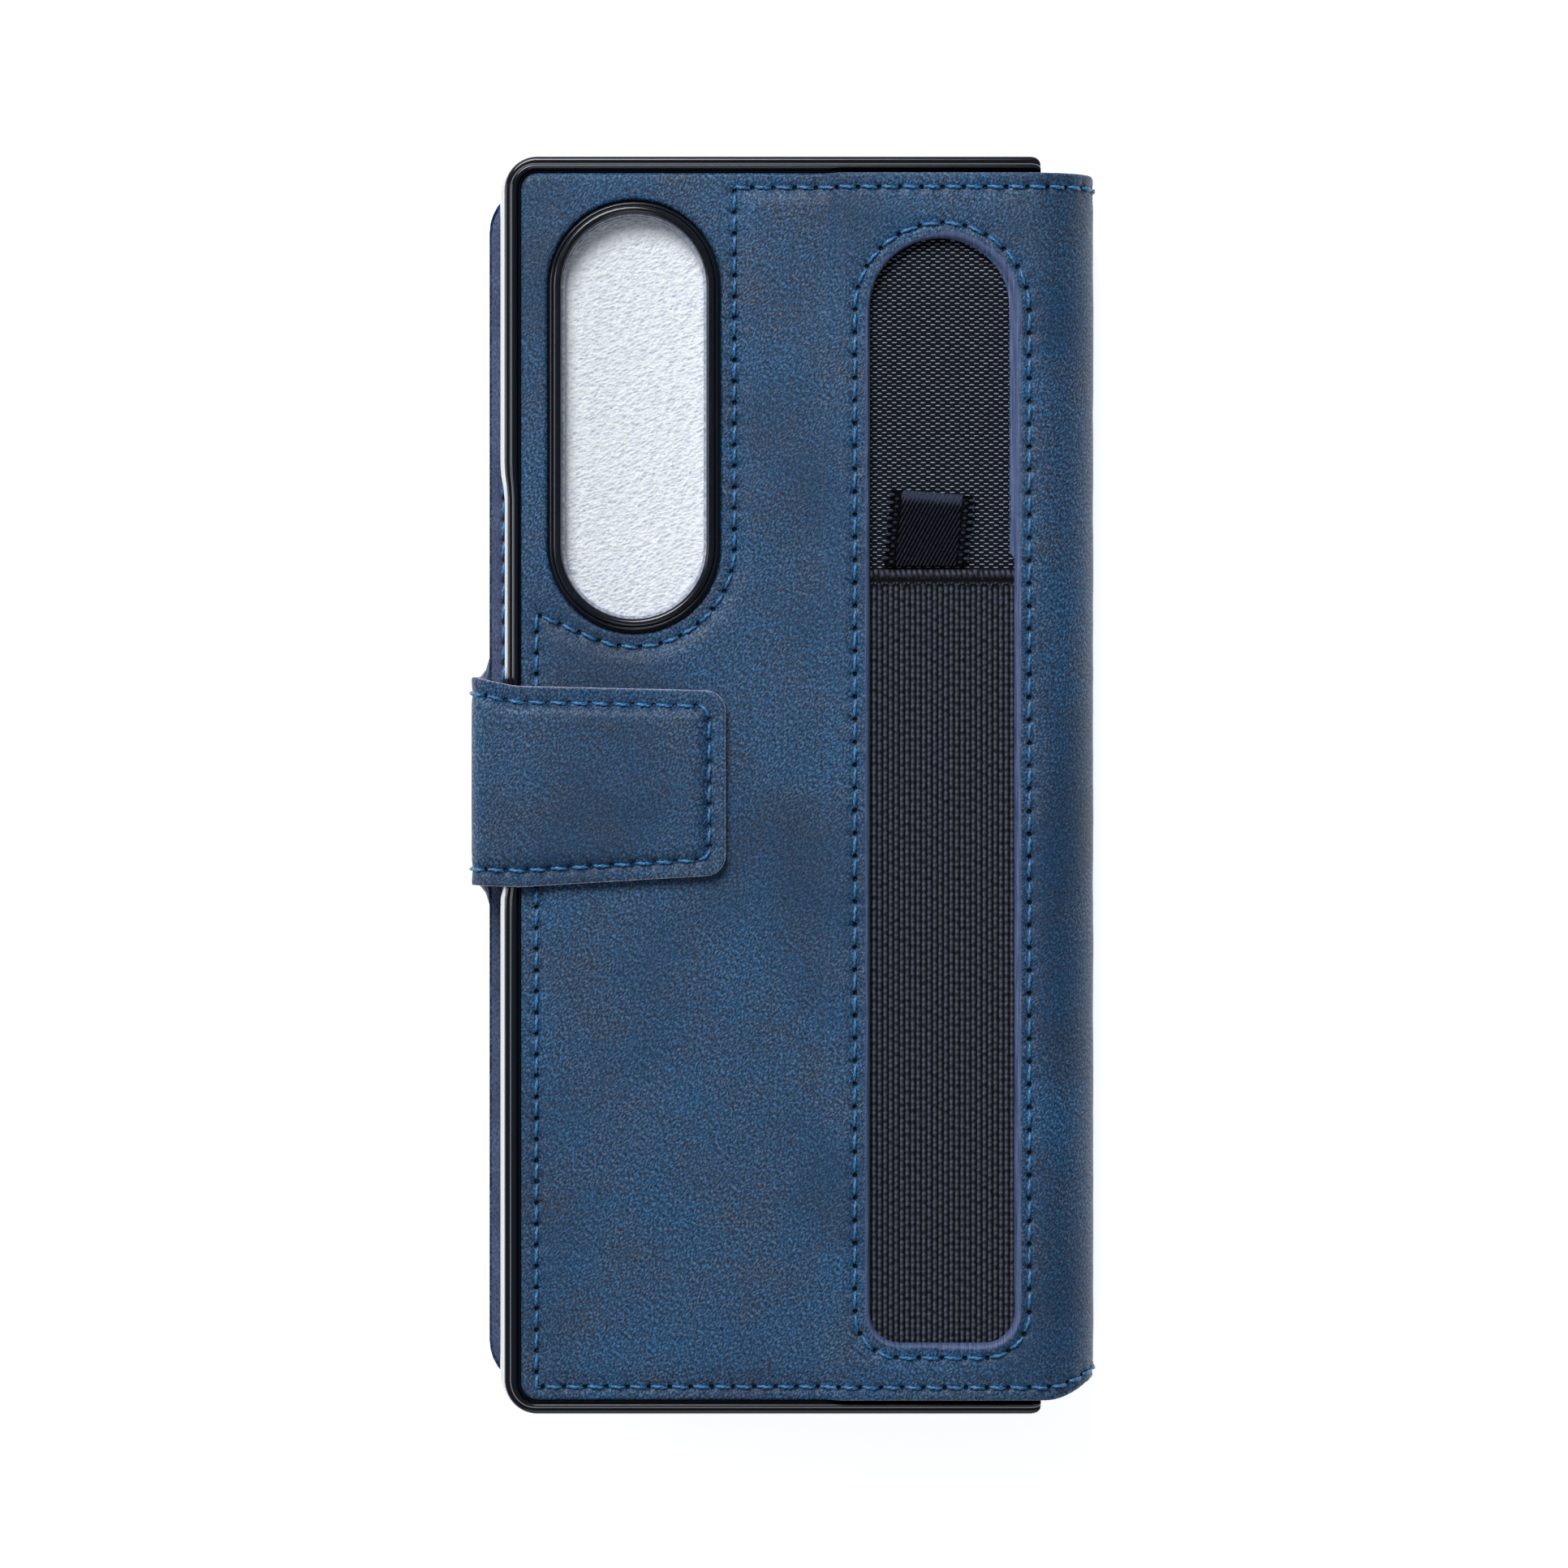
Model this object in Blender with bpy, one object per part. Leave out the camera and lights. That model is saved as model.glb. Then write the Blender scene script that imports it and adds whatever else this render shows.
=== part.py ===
"""Wallet case for a book-style folding phone, closed and lying on its front cover.

A black plastic shell carries the phone. A leather panel is bonded to the back of
the shell, runs on round the spine and becomes the front cover, which holds cards
on its inside. A strap on the front cover's free edge wraps the side of the case
and is held on the back by a magnet. The back panel has a camera window and a
long slot with a woven backing and an elastic sleeve for a pen.

Frame: +Z up through the thickness, back panel on top; +Y to the top of the
phone; +X to the spine. The origin is under the middle of the case.
Sizes are in millimetres and become metres where a mesh is made.
"""

import math

import bmesh
import bpy

MM = 0.001

# ---- thicknesses, and the small gap kept between laminated layers
LAYER_GAP = 0.1
CLEARANCE = 0.3
LEATHER = 0.9
LINING = 0.4
BOARD = 1.0
POCKET = 0.4
PLATE = 1.0
WALL = 1.2
FOAM = 0.8
FABRIC = 0.3
ELASTIC = 0.7
SLOT_BOARD = 1.1
PAD = 0.4
RAISE = 0.3
MAGNET = 0.4
THREAD_RADIUS = 0.22

# ---- outline of the shell, and of the leather panel that lies in it
SHELL_LEFT = -35.2
SHELL_RIGHT = 31.8
SHELL_TOP = 78.05
SHELL_CORNER = 4.6
SHELL_END_CORNER = 1.2
PANEL_LEFT = -32.35
PANEL_TOP = 75.5
PANEL_BOTTOM = -75.9
PANEL_CORNER = 2.1
PANEL_SEAT = 0.2
BAY_DEPTH = 12.9
BAY_CORNER = 3.4

# ---- openings in the shell's walls: side keys, open at the mouth, and charging socket
KEYS_SPAN = (-10.0, 37.0)
KEYS_Z = (2.0, 15.0)
SOCKET_HALF_WIDTH = 7.0
SOCKET_Z = (8.5, 15.0)
OPENING_CORNER = 2.5

# ---- steel plate under the back panel, where the strap's magnet lands
STEEL_LEFT = -28.0
STEEL_RIGHT = -11.0
STEEL_HALF_HEIGHT = 7.5
STEEL_CORNER = 1.5

# ---- camera window: a slot with round ends
CAMERA_X = -18.4
CAMERA_LOW = 29.4
CAMERA_HIGH = 61.5
CAMERA_RING_OUTER = 10.4
CAMERA_RING_INNER = 8.95
CAMERA_NECK = 9.85
CAMERA_WINDOW = 8.6
CAMERA_SEAM = 12.4

# ---- pen slot in the back panel
SLOT_LEFT = 10.7
SLOT_RIGHT = 28.5
SLOT_TOP = 67.4
SLOT_BOTTOM = -68.8
SLOT_CORNER = 3.7
SLOT_SEAM = 1.85
SLOT_MARGIN = 1.6
ELASTIC_TOP = 26.7
PULL_TAB_LEFT = 13.5
PULL_TAB_RIGHT = 24.2
PULL_TAB_LOW = 27.4
PULL_TAB_HIGH = 36.4
PULL_TAB = 0.6

# ---- outline seam of the back panel and the step at the slot's stiffener
SEAM_LEFT = -30.5
SEAM_COLUMN = -6.0
SEAM_TOP = 73.7
SEAM_BOTTOM = -74.3
SEAM_SHOULDER = 21.0
STEP_X = 6.2
STEP_WIDTH = 1.8

# ---- spine
SPINE_RIGHT = 38.5
SPINE_START = 30.5
SPINE_ARC_HEIGHT = 6.9
COVER_END = 33.0
SPINE_END = 34.0
SPINE_FOLD_X = 36.0

# ---- front cover, its pockets and its strap
COVER_LEFT = -37.0
COVER_CORNER = 6.0
COVER_FLAT_END = 29.5
COVER_SEAM = 1.8
POCKET_LEFT = -33.2
POCKET_CORNER = 2.0
CASH_RIGHT = 27.0
CASH_HALF_HEIGHT = 72.0
CARD_LOW = -68.0
CARD_HIGH = 24.0
CARD_RIGHT = 22.0
CARD_STEP = 7.0
THUMB_NOTCH = 8.0
STRAP_LEFT = -38.5
STRAP_LOW = -12.4
STRAP_HIGH = 13.3
STRAP_LEATHER = 0.7
STRAP_LOWER_BEND = 1.5
STRAP_UPPER_BEND = 2.2
STRAP_LOWER_FOLD = 0.7
STRAP_UPPER_FOLD = 1.2
STRAP_RIM = 0.6
TAB_START = -36.0
TAB_END = -7.1
TAB_CORNER = 2.5
TAB_SEAM = 2.0
TAB_LOW_EDGE = ((TAB_START, -12.4), (-32.5, -12.6), (TAB_END, -11.1))
TAB_HIGH_EDGE = ((TAB_END, 11.6), (-33.0, 12.2), (TAB_START, 12.8))
TAB_FIELD_START = TAB_START + 1.5
TAB_FIELD_SPAN = (-9.6, 10.0)
MAGNET_LEFT = -30.5
MAGNET_RIGHT = TAB_END - 5
MAGNET_SPAN = (-8.2, 8.4)
MAGNET_ROOM = 0.2


def layer(below, thickness, gap=LAYER_GAP):
    """Low and high faces of a flat layer laid on the one below it."""
    low = below[1] + gap
    return low, low + thickness


# ---- stack of layers, from the floor up
FRONT_LEATHER_Z = (0.0, LEATHER)
FRONT_BOARD_Z = layer(FRONT_LEATHER_Z, BOARD)
FRONT_LINING_Z = layer(FRONT_BOARD_Z, LINING)
CASH_Z = layer(FRONT_LINING_Z, POCKET)
CARD_3_Z = layer(CASH_Z, POCKET)
CARD_2_Z = layer(CARD_3_Z, POCKET)
CARD_1_Z = layer(CARD_2_Z, POCKET)
BAY_Z = layer(CARD_1_Z, BAY_DEPTH, CLEARANCE)
PLATE_Z = (BAY_Z[1], BAY_Z[1] + PLATE)
FOAM_Z = (BAY_Z[1] - LAYER_GAP - FOAM, BAY_Z[1] - LAYER_GAP)
FABRIC_Z = layer(PLATE_Z, FABRIC)
ELASTIC_Z = layer(FABRIC_Z, ELASTIC)
PULL_TAB_Z = layer(FABRIC_Z, PULL_TAB)
SLOT_BOARD_Z = layer(PLATE_Z, SLOT_BOARD)
PAD_Z = layer(PLATE_Z, PAD)
PANEL_Z = layer(PLATE_Z, LEATHER)
RAISED_Z = layer(SLOT_BOARD_Z, LEATHER)
FIELD_TOP = PANEL_Z[1] + RAISE
RIM_TOP = PANEL_Z[1] + LAYER_GAP
TAB_LINING_Z = layer((0.0, FIELD_TOP), LINING, CLEARANCE + 0.05)
STRAP_MAGNET_Z = layer(TAB_LINING_Z, MAGNET)
TAB_RIM_Z = layer(TAB_LINING_Z, STRAP_RIM)
TAB_TOP = STRAP_MAGNET_Z[1] + LAYER_GAP + STRAP_LEATHER

# ---- fold lines: (x, z) of each axis, all along Y; the pull tab's is (y, z), along X
COVER_FOLD = (SPINE_FOLD_X, SPINE_RIGHT - SPINE_FOLD_X)
BACK_FOLD = (SPINE_FOLD_X, RAISED_Z[1] - (SPINE_RIGHT - SPINE_FOLD_X))
STRAP_ROOT_FOLD = (STRAP_LEFT + STRAP_LOWER_FOLD, STRAP_LOWER_FOLD)
STRAP_CORNER_FOLD = (STRAP_LEFT + STRAP_UPPER_FOLD, TAB_TOP - STRAP_UPPER_FOLD)
PULL_TAB_FOLD = (PULL_TAB_LOW, PULL_TAB_Z[0])

COLOURS = {
    "leather": ((0.035, 0.085, 0.17), 0.45),
    "lining": ((0.045, 0.06, 0.12), 0.6),
    "shell": ((0.01, 0.01, 0.012), 0.15),
    "lip": ((0.35, 0.37, 0.4), 0.3),
    "board": ((0.35, 0.33, 0.3), 0.9),
    "foam": ((0.85, 0.87, 0.92), 0.6),
    "steel": ((0.6, 0.6, 0.62), 0.35),
    "fabric": ((0.05, 0.06, 0.07), 0.8),
    "elastic": ((0.015, 0.015, 0.018), 0.9),
    "ribbon": ((0.01, 0.01, 0.012), 0.5),
    "thread": ((0.03, 0.13, 0.3), 0.6),
}

# where each fold axis lies, by name; filled as the axes are made
item_axis = {}


# ------------------------------------------------------------------ outlines


def rounded(corners, steps=6):
    """Closed outline through (x, y, radius) corners, each turned with an arc."""
    points = []
    count = len(corners)
    for index, (x, y, radius) in enumerate(corners):
        if radius <= 0:
            points.append((x, y))
            continue
        before = corners[index - 1]
        after = corners[(index + 1) % count]
        to_before = math.atan2(before[1] - y, before[0] - x)
        to_after = math.atan2(after[1] - y, after[0] - x)
        turn = (to_after - to_before) % (2 * math.pi)
        left_turn = turn > math.pi
        half = (2 * math.pi - turn if left_turn else turn) / 2
        middle = to_before - half if left_turn else to_before + half
        reach = radius / math.sin(half)
        centre_x = x + reach * math.cos(middle)
        centre_y = y + reach * math.sin(middle)
        sweep = math.pi - 2 * half
        side = 1 if left_turn else -1
        first = middle + math.pi - side * sweep / 2
        for step in range(steps + 1):
            angle = first + side * sweep * step / steps
            points.append((centre_x + radius * math.cos(angle), centre_y + radius * math.sin(angle)))
    return points


def rectangle(left, right, low, high, left_radius=0.0, right_radius=None, inset=0.0):
    """Rectangle with its own corner radius at each end, drawn in by inset."""
    if right_radius is None:
        right_radius = left_radius
    left_radius = max(left_radius - inset, 0.2) if left_radius else 0.0
    right_radius = max(right_radius - inset, 0.2) if right_radius else 0.0
    return rounded(
        [
            (left + inset, low + inset, left_radius),
            (right - inset, low + inset, right_radius),
            (right - inset, high - inset, right_radius),
            (left + inset, high - inset, left_radius),
        ]
    )


def pill(radius, steps=16):
    """Outline of the camera window at a distance from its centre line."""
    points = []
    for centre, first in ((CAMERA_HIGH, 0.0), (CAMERA_LOW, math.pi)):
        for step in range(steps + 1):
            angle = first + math.pi * step / steps
            points.append((CAMERA_X + radius * math.cos(angle), centre + radius * math.sin(angle)))
    return points


def slot(offset):
    """Outline of the pen slot, widened by offset: square below, round above."""
    half_width = (SLOT_RIGHT - SLOT_LEFT) / 2 + offset
    middle = (SLOT_LEFT + SLOT_RIGHT) / 2
    low = SLOT_BOTTOM - offset
    points = rounded(
        [
            (middle - half_width, low + 2 * half_width, 0),
            (middle - half_width, low, SLOT_CORNER + offset),
            (middle + half_width, low, SLOT_CORNER + offset),
            (middle + half_width, low + 2 * half_width, 0),
        ]
    )
    centre = SLOT_TOP + offset - half_width
    arc = [math.pi * step / 16 for step in range(17)]
    return points[1:-1] + [
        (middle + half_width * math.cos(angle), centre + half_width * math.sin(angle)) for angle in arc
    ]


def seam_round_camera(inset):
    """Seam from the top edge down beside the camera, round it and down the left side.

    inset moves the line inwards, to the padded field's own edge.
    """
    radius = CAMERA_SEAM + inset
    shoulder = (SEAM_LEFT + inset, SEAM_SHOULDER - inset)
    across = (shoulder[0] - CAMERA_X, shoulder[1] - CAMERA_LOW)
    distance = math.hypot(*across)
    last = math.atan2(across[1], across[0]) + math.acos(radius / distance)
    points = [(SEAM_COLUMN + inset, SEAM_TOP - inset)]
    for step in range(13):
        angle = last * step / 12
        points.append((CAMERA_X + radius * math.cos(angle), CAMERA_LOW + radius * math.sin(angle)))
    return points + [shoulder, (SEAM_LEFT + inset, SEAM_BOTTOM + inset)]


def spine_arc(depth, first_x, upper):
    """Points (x, z) of the spine's round corner, depth under its outer face, from first_x."""
    across = SPINE_RIGHT - SPINE_START - depth
    up = SPINE_ARC_HEIGHT - depth
    first = math.asin((first_x - SPINE_START) / across)
    centre = RAISED_Z[1] - SPINE_ARC_HEIGHT if upper else SPINE_ARC_HEIGHT
    side = 1 if upper else -1
    points = []
    for step in range(9):
        angle = first + (math.pi / 2 - first) * step / 8
        points.append((SPINE_START + across * math.sin(angle), centre + side * up * math.cos(angle)))
    return points


def panel_end(depth, last_x, upper):
    """Short arc where a flat panel starts to turn into the spine, from flat to last_x."""
    across = SPINE_RIGHT - SPINE_START - depth
    up = SPINE_ARC_HEIGHT - depth
    last = math.asin((last_x - SPINE_START) / across)
    centre = RAISED_Z[1] - SPINE_ARC_HEIGHT if upper else SPINE_ARC_HEIGHT
    side = 1 if upper else -1
    return [
        (SPINE_START + across * math.sin(last * step / 3), centre + side * up * math.cos(last * step / 3))
        for step in range(4)
    ]


def back_surface(x):
    """Height of the back panel's outer face away from the padded field."""
    step = (x - STEP_X) / STEP_WIDTH + 0.5
    if step <= 0:
        return PANEL_Z[1]
    if step <= 1:
        return PANEL_Z[1] + step * (RAISED_Z[1] - PANEL_Z[1])
    if x <= SPINE_START:
        return RAISED_Z[1]
    turn = math.asin((x - SPINE_START) / (SPINE_RIGHT - SPINE_START))
    return RAISED_Z[1] - SPINE_ARC_HEIGHT * (1 - math.cos(turn))


# -------------------------------------------------------------------- solids


def make_object(name, bm, kind, parent):
    """Object from a finished bmesh, with its own material, placed under its parent empty."""
    bmesh.ops.recalc_face_normals(bm, faces=bm.faces)
    mesh = bpy.data.meshes.new(name)
    bm.to_mesh(mesh)
    bm.free()
    return place(bpy.data.objects.new(name, mesh), kind, parent)


def place(item, kind, parent):
    """Link an object, give it its material and hang it on its parent."""
    bpy.context.scene.collection.objects.link(item)
    if kind is not None:
        item.data.materials.append(principled(item.name, kind))
    if parent is not None:
        axis = item_axis[parent.name]
        item.parent = parent
        item.location = [-value * MM for value in axis]
    return item


def principled(name, kind):
    """The part's own Principled material."""
    colour, roughness = COLOURS[kind]
    material = bpy.data.materials.new(name)
    material.use_nodes = True
    shader = material.node_tree.nodes["Principled BSDF"]
    shader.inputs["Base Color"].default_value = (*colour, 1.0)
    shader.inputs["Roughness"].default_value = roughness
    shader.inputs["Metallic"].default_value = 1.0 if kind == "steel" else 0.0
    return material


def loft(name, loops, kind=None, parent=None):
    """Closed body through equal-length loops of (x, y, z), capped at both ends."""
    bm = bmesh.new()
    rings = [[bm.verts.new((x * MM, y * MM, z * MM)) for x, y, z in loop] for loop in loops]
    for lower, upper in zip(rings, rings[1:]):
        for index, vertex in enumerate(lower):
            following = (index + 1) % len(lower)
            bm.faces.new((vertex, lower[following], upper[following], upper[index]))
    bm.faces.new(rings[0])
    bm.faces.new(rings[-1])
    return make_object(name, bm, kind, parent)


def prism(name, outline, heights, kind=None, parent=None):
    """Outline in the plane of the case, extruded from heights[0] to heights[1]."""
    return loft(name, [[(x, y, z) for x, y in outline] for z in heights], kind, parent)


def strip(name, profile, span, kind=None, parent=None):
    """Profile of (x, z) points, extruded along the length of the case."""
    return loft(name, [[(x, y, z) for x, z in profile] for y in span], kind, parent)


def pill_ring(name, section, kind, parent):
    """Ring round the camera window; section is (distance from the centre line, z)."""
    bm = bmesh.new()
    loops = [pill(distance) for distance, _ in section]
    rings = [
        [bm.verts.new((x * MM, y * MM, z * MM)) for x, y in loop]
        for loop, (_, z) in zip(loops, section)
    ]
    for index, ring in enumerate(rings):
        outer = rings[(index + 1) % len(rings)]
        for here, vertex in enumerate(ring):
            there = (here + 1) % len(ring)
            bm.faces.new((vertex, ring[there], outer[there], outer[here]))
    ring_object = make_object(name, bm, kind, parent)
    shade_round(ring_object)
    return ring_object


def shade_round(item):
    """Smooth shading with sharp edges kept."""
    item.data.shade_smooth()
    item.data.set_sharp_from_angle(angle=math.radians(35))


def combine(item, tool, operation="DIFFERENCE"):
    """Cut item with tool, or join or trim it, by a Boolean modifier."""
    tool.hide_render = True
    tool.display_type = "WIRE"
    modifier = item.modifiers.new(tool.name, "BOOLEAN")
    modifier.operation = operation
    modifier.solver = "EXACT"
    modifier.object = tool


def thread(name, points, closed, parent):
    """Sewing thread drawn along points of (x, y, z)."""
    curve = bpy.data.curves.new(name, "CURVE")
    curve.dimensions = "3D"
    curve.bevel_depth = THREAD_RADIUS * MM
    curve.bevel_resolution = 1
    curve.use_fill_caps = True
    spline = curve.splines.new("POLY")
    spline.points.add(len(points) - 1)
    for point, (x, y, z) in zip(spline.points, points):
        point.co = (x * MM, y * MM, z * MM, 1.0)
    spline.use_cyclic_u = closed
    return place(bpy.data.objects.new(name, curve), "thread", parent)


def fold_axis(name, position, parent=None):
    """Empty on a joint's axis; the pieces that the joint moves hang on it."""
    empty = bpy.data.objects.new(name, None)
    empty.empty_display_size = 0.01
    bpy.context.scene.collection.objects.link(empty)
    base = item_axis[parent.name] if parent else (0.0, 0.0, 0.0)
    empty.parent = parent
    empty.location = [(value - start) * MM for value, start in zip(position, base)]
    item_axis[name] = position
    return empty


# --------------------------------------------------------------------- parts


def build_shell(back):
    """Tray for the phone: plate, three walls, raised rim, and its cut-outs."""
    sections = [
        (BAY_Z[0], 0.3),
        (BAY_Z[0] + 0.5, 0.0),
        (PLATE_Z[0] + 0.6, 0.0),
        (RIM_TOP - 0.6, 0.18),
        (RIM_TOP - 0.2, 0.5),
        (RIM_TOP, 1.0),
    ]
    loops = []
    for z, inset in sections:
        outline = rectangle(
            SHELL_LEFT, SHELL_RIGHT, -SHELL_TOP, SHELL_TOP, SHELL_CORNER, SHELL_END_CORNER, inset
        )
        loops.append([(x, y, z) for x, y in outline])
    shell = loft("back_shell", loops, "shell", back)

    past = SHELL_RIGHT + 10
    inner_left = SHELL_LEFT + WALL
    inner_top = SHELL_TOP - WALL
    bay = rectangle(inner_left, past, -inner_top, inner_top, BAY_CORNER)
    combine(shell, prism("cut_bay", bay, (BAY_Z[0] - 1, BAY_Z[1])))

    seat = rectangle(
        PANEL_LEFT - PANEL_SEAT, past, PANEL_BOTTOM - PANEL_SEAT, PANEL_TOP + PANEL_SEAT, PANEL_CORNER
    )
    combine(shell, prism("cut_panel_seat", seat, (PLATE_Z[1], RIM_TOP + 1)))
    combine(shell, prism("cut_camera", pill(CAMERA_NECK + 0.15), (PLATE_Z[0] - 1, RIM_TOP + 1)))
    combine(shell, prism("cut_magnet", steel_outline(0.2), (PLATE_Z[1] - MAGNET - LAYER_GAP, RIM_TOP + 1)))

    keys = rectangle(*KEYS_Z, *KEYS_SPAN, 0.0, OPENING_CORNER)
    keys_loops = [[(x, y, z) for z, y in keys] for x in (SHELL_LEFT - 2, inner_left + 1.5)]
    combine(shell, loft("cut_keys", keys_loops))
    socket = rectangle(-SOCKET_HALF_WIDTH, SOCKET_HALF_WIDTH, *SOCKET_Z, OPENING_CORNER)
    socket_loops = [[(x, y, z) for x, z in socket] for y in (-SHELL_TOP - 2, -inner_top + 1.5)]
    combine(shell, loft("cut_socket", socket_loops))


def steel_outline(margin):
    """Outline of the steel plate under the back panel, widened by margin."""
    half_height = STEEL_HALF_HEIGHT + margin
    return rectangle(STEEL_LEFT - margin, STEEL_RIGHT + margin, -half_height, half_height, STEEL_CORNER)


def build_camera(back):
    """Ring that frames the camera window, and the soft lip inside it."""
    top = RAISED_Z[1]
    seat = PLATE_Z[1] + LAYER_GAP
    ring = [
        (CAMERA_RING_INNER, PLATE_Z[0] + 0.05),
        (CAMERA_RING_INNER, top - 0.8),
        (CAMERA_RING_INNER + 0.25, top - 0.25),
        (CAMERA_RING_INNER + 0.65, top),
        (CAMERA_RING_OUTER - 0.5, top - 0.05),
        (CAMERA_RING_OUTER - 0.1, top - 0.5),
        (CAMERA_RING_OUTER, top - 1.0),
        (CAMERA_RING_OUTER, seat),
        (CAMERA_NECK, seat),
        (CAMERA_NECK, PLATE_Z[0] + 0.05),
    ]
    pill_ring("camera_ring", ring, "shell", back)
    lip_outer = CAMERA_RING_INNER - 0.1
    lip = [
        (CAMERA_WINDOW, PLATE_Z[0] + 0.1),
        (CAMERA_WINDOW, PLATE_Z[1] + 0.6),
        (lip_outer, PLATE_Z[1] + 0.6),
        (lip_outer, PLATE_Z[0] + 0.1),
    ]
    pill_ring("camera_lip", lip, "lip", back)


def build_back_panel(back):
    """Leather panel on the shell, with the stiffener, padding and steel plate under it."""
    prism("back_magnet", steel_outline(0.0), (PLATE_Z[1] - MAGNET, PLATE_Z[1]), "steel", back)

    field = seam_round_camera(0.8) + [(STEP_X - 1.0, SEAM_BOTTOM + 0.8), (STEP_X - 1.0, SEAM_TOP - 0.8)]
    pad = seam_round_camera(1.4) + [(STEP_X - 1.6, SEAM_BOTTOM + 1.4), (STEP_X - 1.6, SEAM_TOP - 1.4)]
    pad_room = seam_round_camera(1.2) + [(STEP_X - 1.4, SEAM_BOTTOM + 1.2), (STEP_X - 1.4, SEAM_TOP - 1.2)]
    prism("back_pad", pad, PAD_Z, "foam", back)

    board = rectangle(STEP_X + 0.8, SPINE_START + 0.7, SEAM_BOTTOM + 1.2, SEAM_TOP - 1.2, 1.0)
    stiffener = prism("back_board", board, SLOT_BOARD_Z, "board", back)
    combine(stiffener, prism("cut_board_slot", slot(SLOT_SEAM + 0.05), (0, RAISED_Z[1] + 5)))

    half_step = STEP_WIDTH / 2
    upper = [(PANEL_LEFT - 1, PANEL_Z[1]), (STEP_X - half_step, PANEL_Z[1])]
    upper += [(STEP_X + half_step, RAISED_Z[1]), *panel_end(0.0, COVER_END, upper=True)]
    lower = panel_end(LEATHER, COVER_END, upper=True)[::-1]
    lower += [(STEP_X + 0.4, RAISED_Z[0]), (STEP_X - 0.6, PANEL_Z[0]), (PANEL_LEFT - 1, PANEL_Z[0])]
    leather = strip("back_leather", upper + lower, (PANEL_BOTTOM - 1, PANEL_TOP + 1), "leather", back)
    outline = rectangle(PANEL_LEFT, SHELL_RIGHT + 10, PANEL_BOTTOM, PANEL_TOP, PANEL_CORNER)
    combine(leather, prism("trim_back_leather", outline, (10, 30)), "INTERSECT")
    combine(leather, prism("join_field", field, (PANEL_Z[0] + 0.2, FIELD_TOP)), "UNION")
    combine(leather, prism("cut_pad_room", pad_room, (PANEL_Z[0] - 1, PAD_Z[1] + LAYER_GAP)))
    combine(leather, prism("cut_leather_camera", pill(CAMERA_RING_OUTER + 0.25), (10, 30)))
    combine(leather, prism("cut_leather_slot", slot(0.0), (10, 30)))


def build_pen_slot(back, tab_axis):
    """Woven backing and elastic sleeve behind the slot, and the ribbon to pull the pen out by."""
    prism("pen_slot_fabric", slot(SLOT_MARGIN), FABRIC_Z, "fabric", back)
    sleeve = rounded(
        [
            (SLOT_LEFT - SLOT_MARGIN, SLOT_BOTTOM - SLOT_MARGIN, SLOT_CORNER + SLOT_MARGIN),
            (SLOT_RIGHT + SLOT_MARGIN, SLOT_BOTTOM - SLOT_MARGIN, SLOT_CORNER + SLOT_MARGIN),
            (SLOT_RIGHT + SLOT_MARGIN, ELASTIC_TOP, 0.3),
            (SLOT_LEFT - SLOT_MARGIN, ELASTIC_TOP, 0.3),
        ]
    )
    prism("pen_elastic", sleeve, ELASTIC_Z, "elastic", back)
    ribbon = rectangle(PULL_TAB_LEFT, PULL_TAB_RIGHT, PULL_TAB_LOW, PULL_TAB_HIGH, 0.4)
    prism("pen_pull_tab", ribbon, PULL_TAB_Z, "ribbon", tab_axis)


def build_seams(back, cover, tab):
    """Sewing threads that show on the outside of the case and inside its cover."""
    lift = THREAD_RADIUS + LAYER_GAP
    edge = COVER_END - 0.4
    across = [STEP_X - STEP_WIDTH, STEP_X - STEP_WIDTH / 2, STEP_X + STEP_WIDTH / 2, SPINE_START, edge]
    top_run = [(x, SEAM_TOP) for x in reversed(across)]
    bottom_run = [(x, SEAM_BOTTOM) for x in across]
    path = top_run + seam_round_camera(0.0) + bottom_run
    outline = [(x, y, back_surface(x) + lift) for x, y in path]
    thread("outline_seam_thread", outline, False, back)

    ring = [(x, y, RAISED_Z[1] + lift) for x, y in slot(SLOT_SEAM)]
    thread("slot_seam_thread", ring, True, back)

    inner = rectangle(
        COVER_LEFT + COVER_SEAM,
        COVER_FLAT_END - 1,
        PANEL_BOTTOM + COVER_SEAM,
        PANEL_TOP - COVER_SEAM,
        COVER_CORNER - COVER_SEAM,
        0.5,
    )
    thread("cover_seam_thread", [(x, y, FRONT_LINING_Z[1] + lift) for x, y in inner], True, cover)

    rim = tab_outline(TAB_SEAM)
    tab_path = [point for point in rim if point[0] > TAB_START + 0.5]
    thread("strap_seam_thread", [(x, y, TAB_RIM_Z[1] + lift) for x, y in tab_path], False, tab)


def build_foam(back):
    """Thin sheet of packing foam that lies in the empty tray."""
    sheet = rectangle(
        SHELL_LEFT + WALL + 0.5, SHELL_RIGHT - 0.8, -SHELL_TOP + WALL + 0.5, SHELL_TOP - WALL - 0.5, 3.0
    )
    prism("packing_foam_sheet", sheet, FOAM_Z, "foam", back)


def build_spine(spine):
    """Leather and lining that run round the spine, between the two fold lines."""
    layers = (
        ("spine_leather", 0.0, LEATHER, "leather"),
        ("spine_lining", LEATHER + LAYER_GAP, LEATHER + LAYER_GAP + LINING, "lining"),
    )
    for name, outer, inner, kind in layers:
        outside = spine_arc(outer, SPINE_END, True) + spine_arc(outer, SPINE_END, False)[::-1]
        inside = spine_arc(inner, SPINE_END, True) + spine_arc(inner, SPINE_END, False)[::-1]
        shade_round(strip(name, outside + inside[::-1], (PANEL_BOTTOM, PANEL_TOP), kind, spine))


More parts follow.
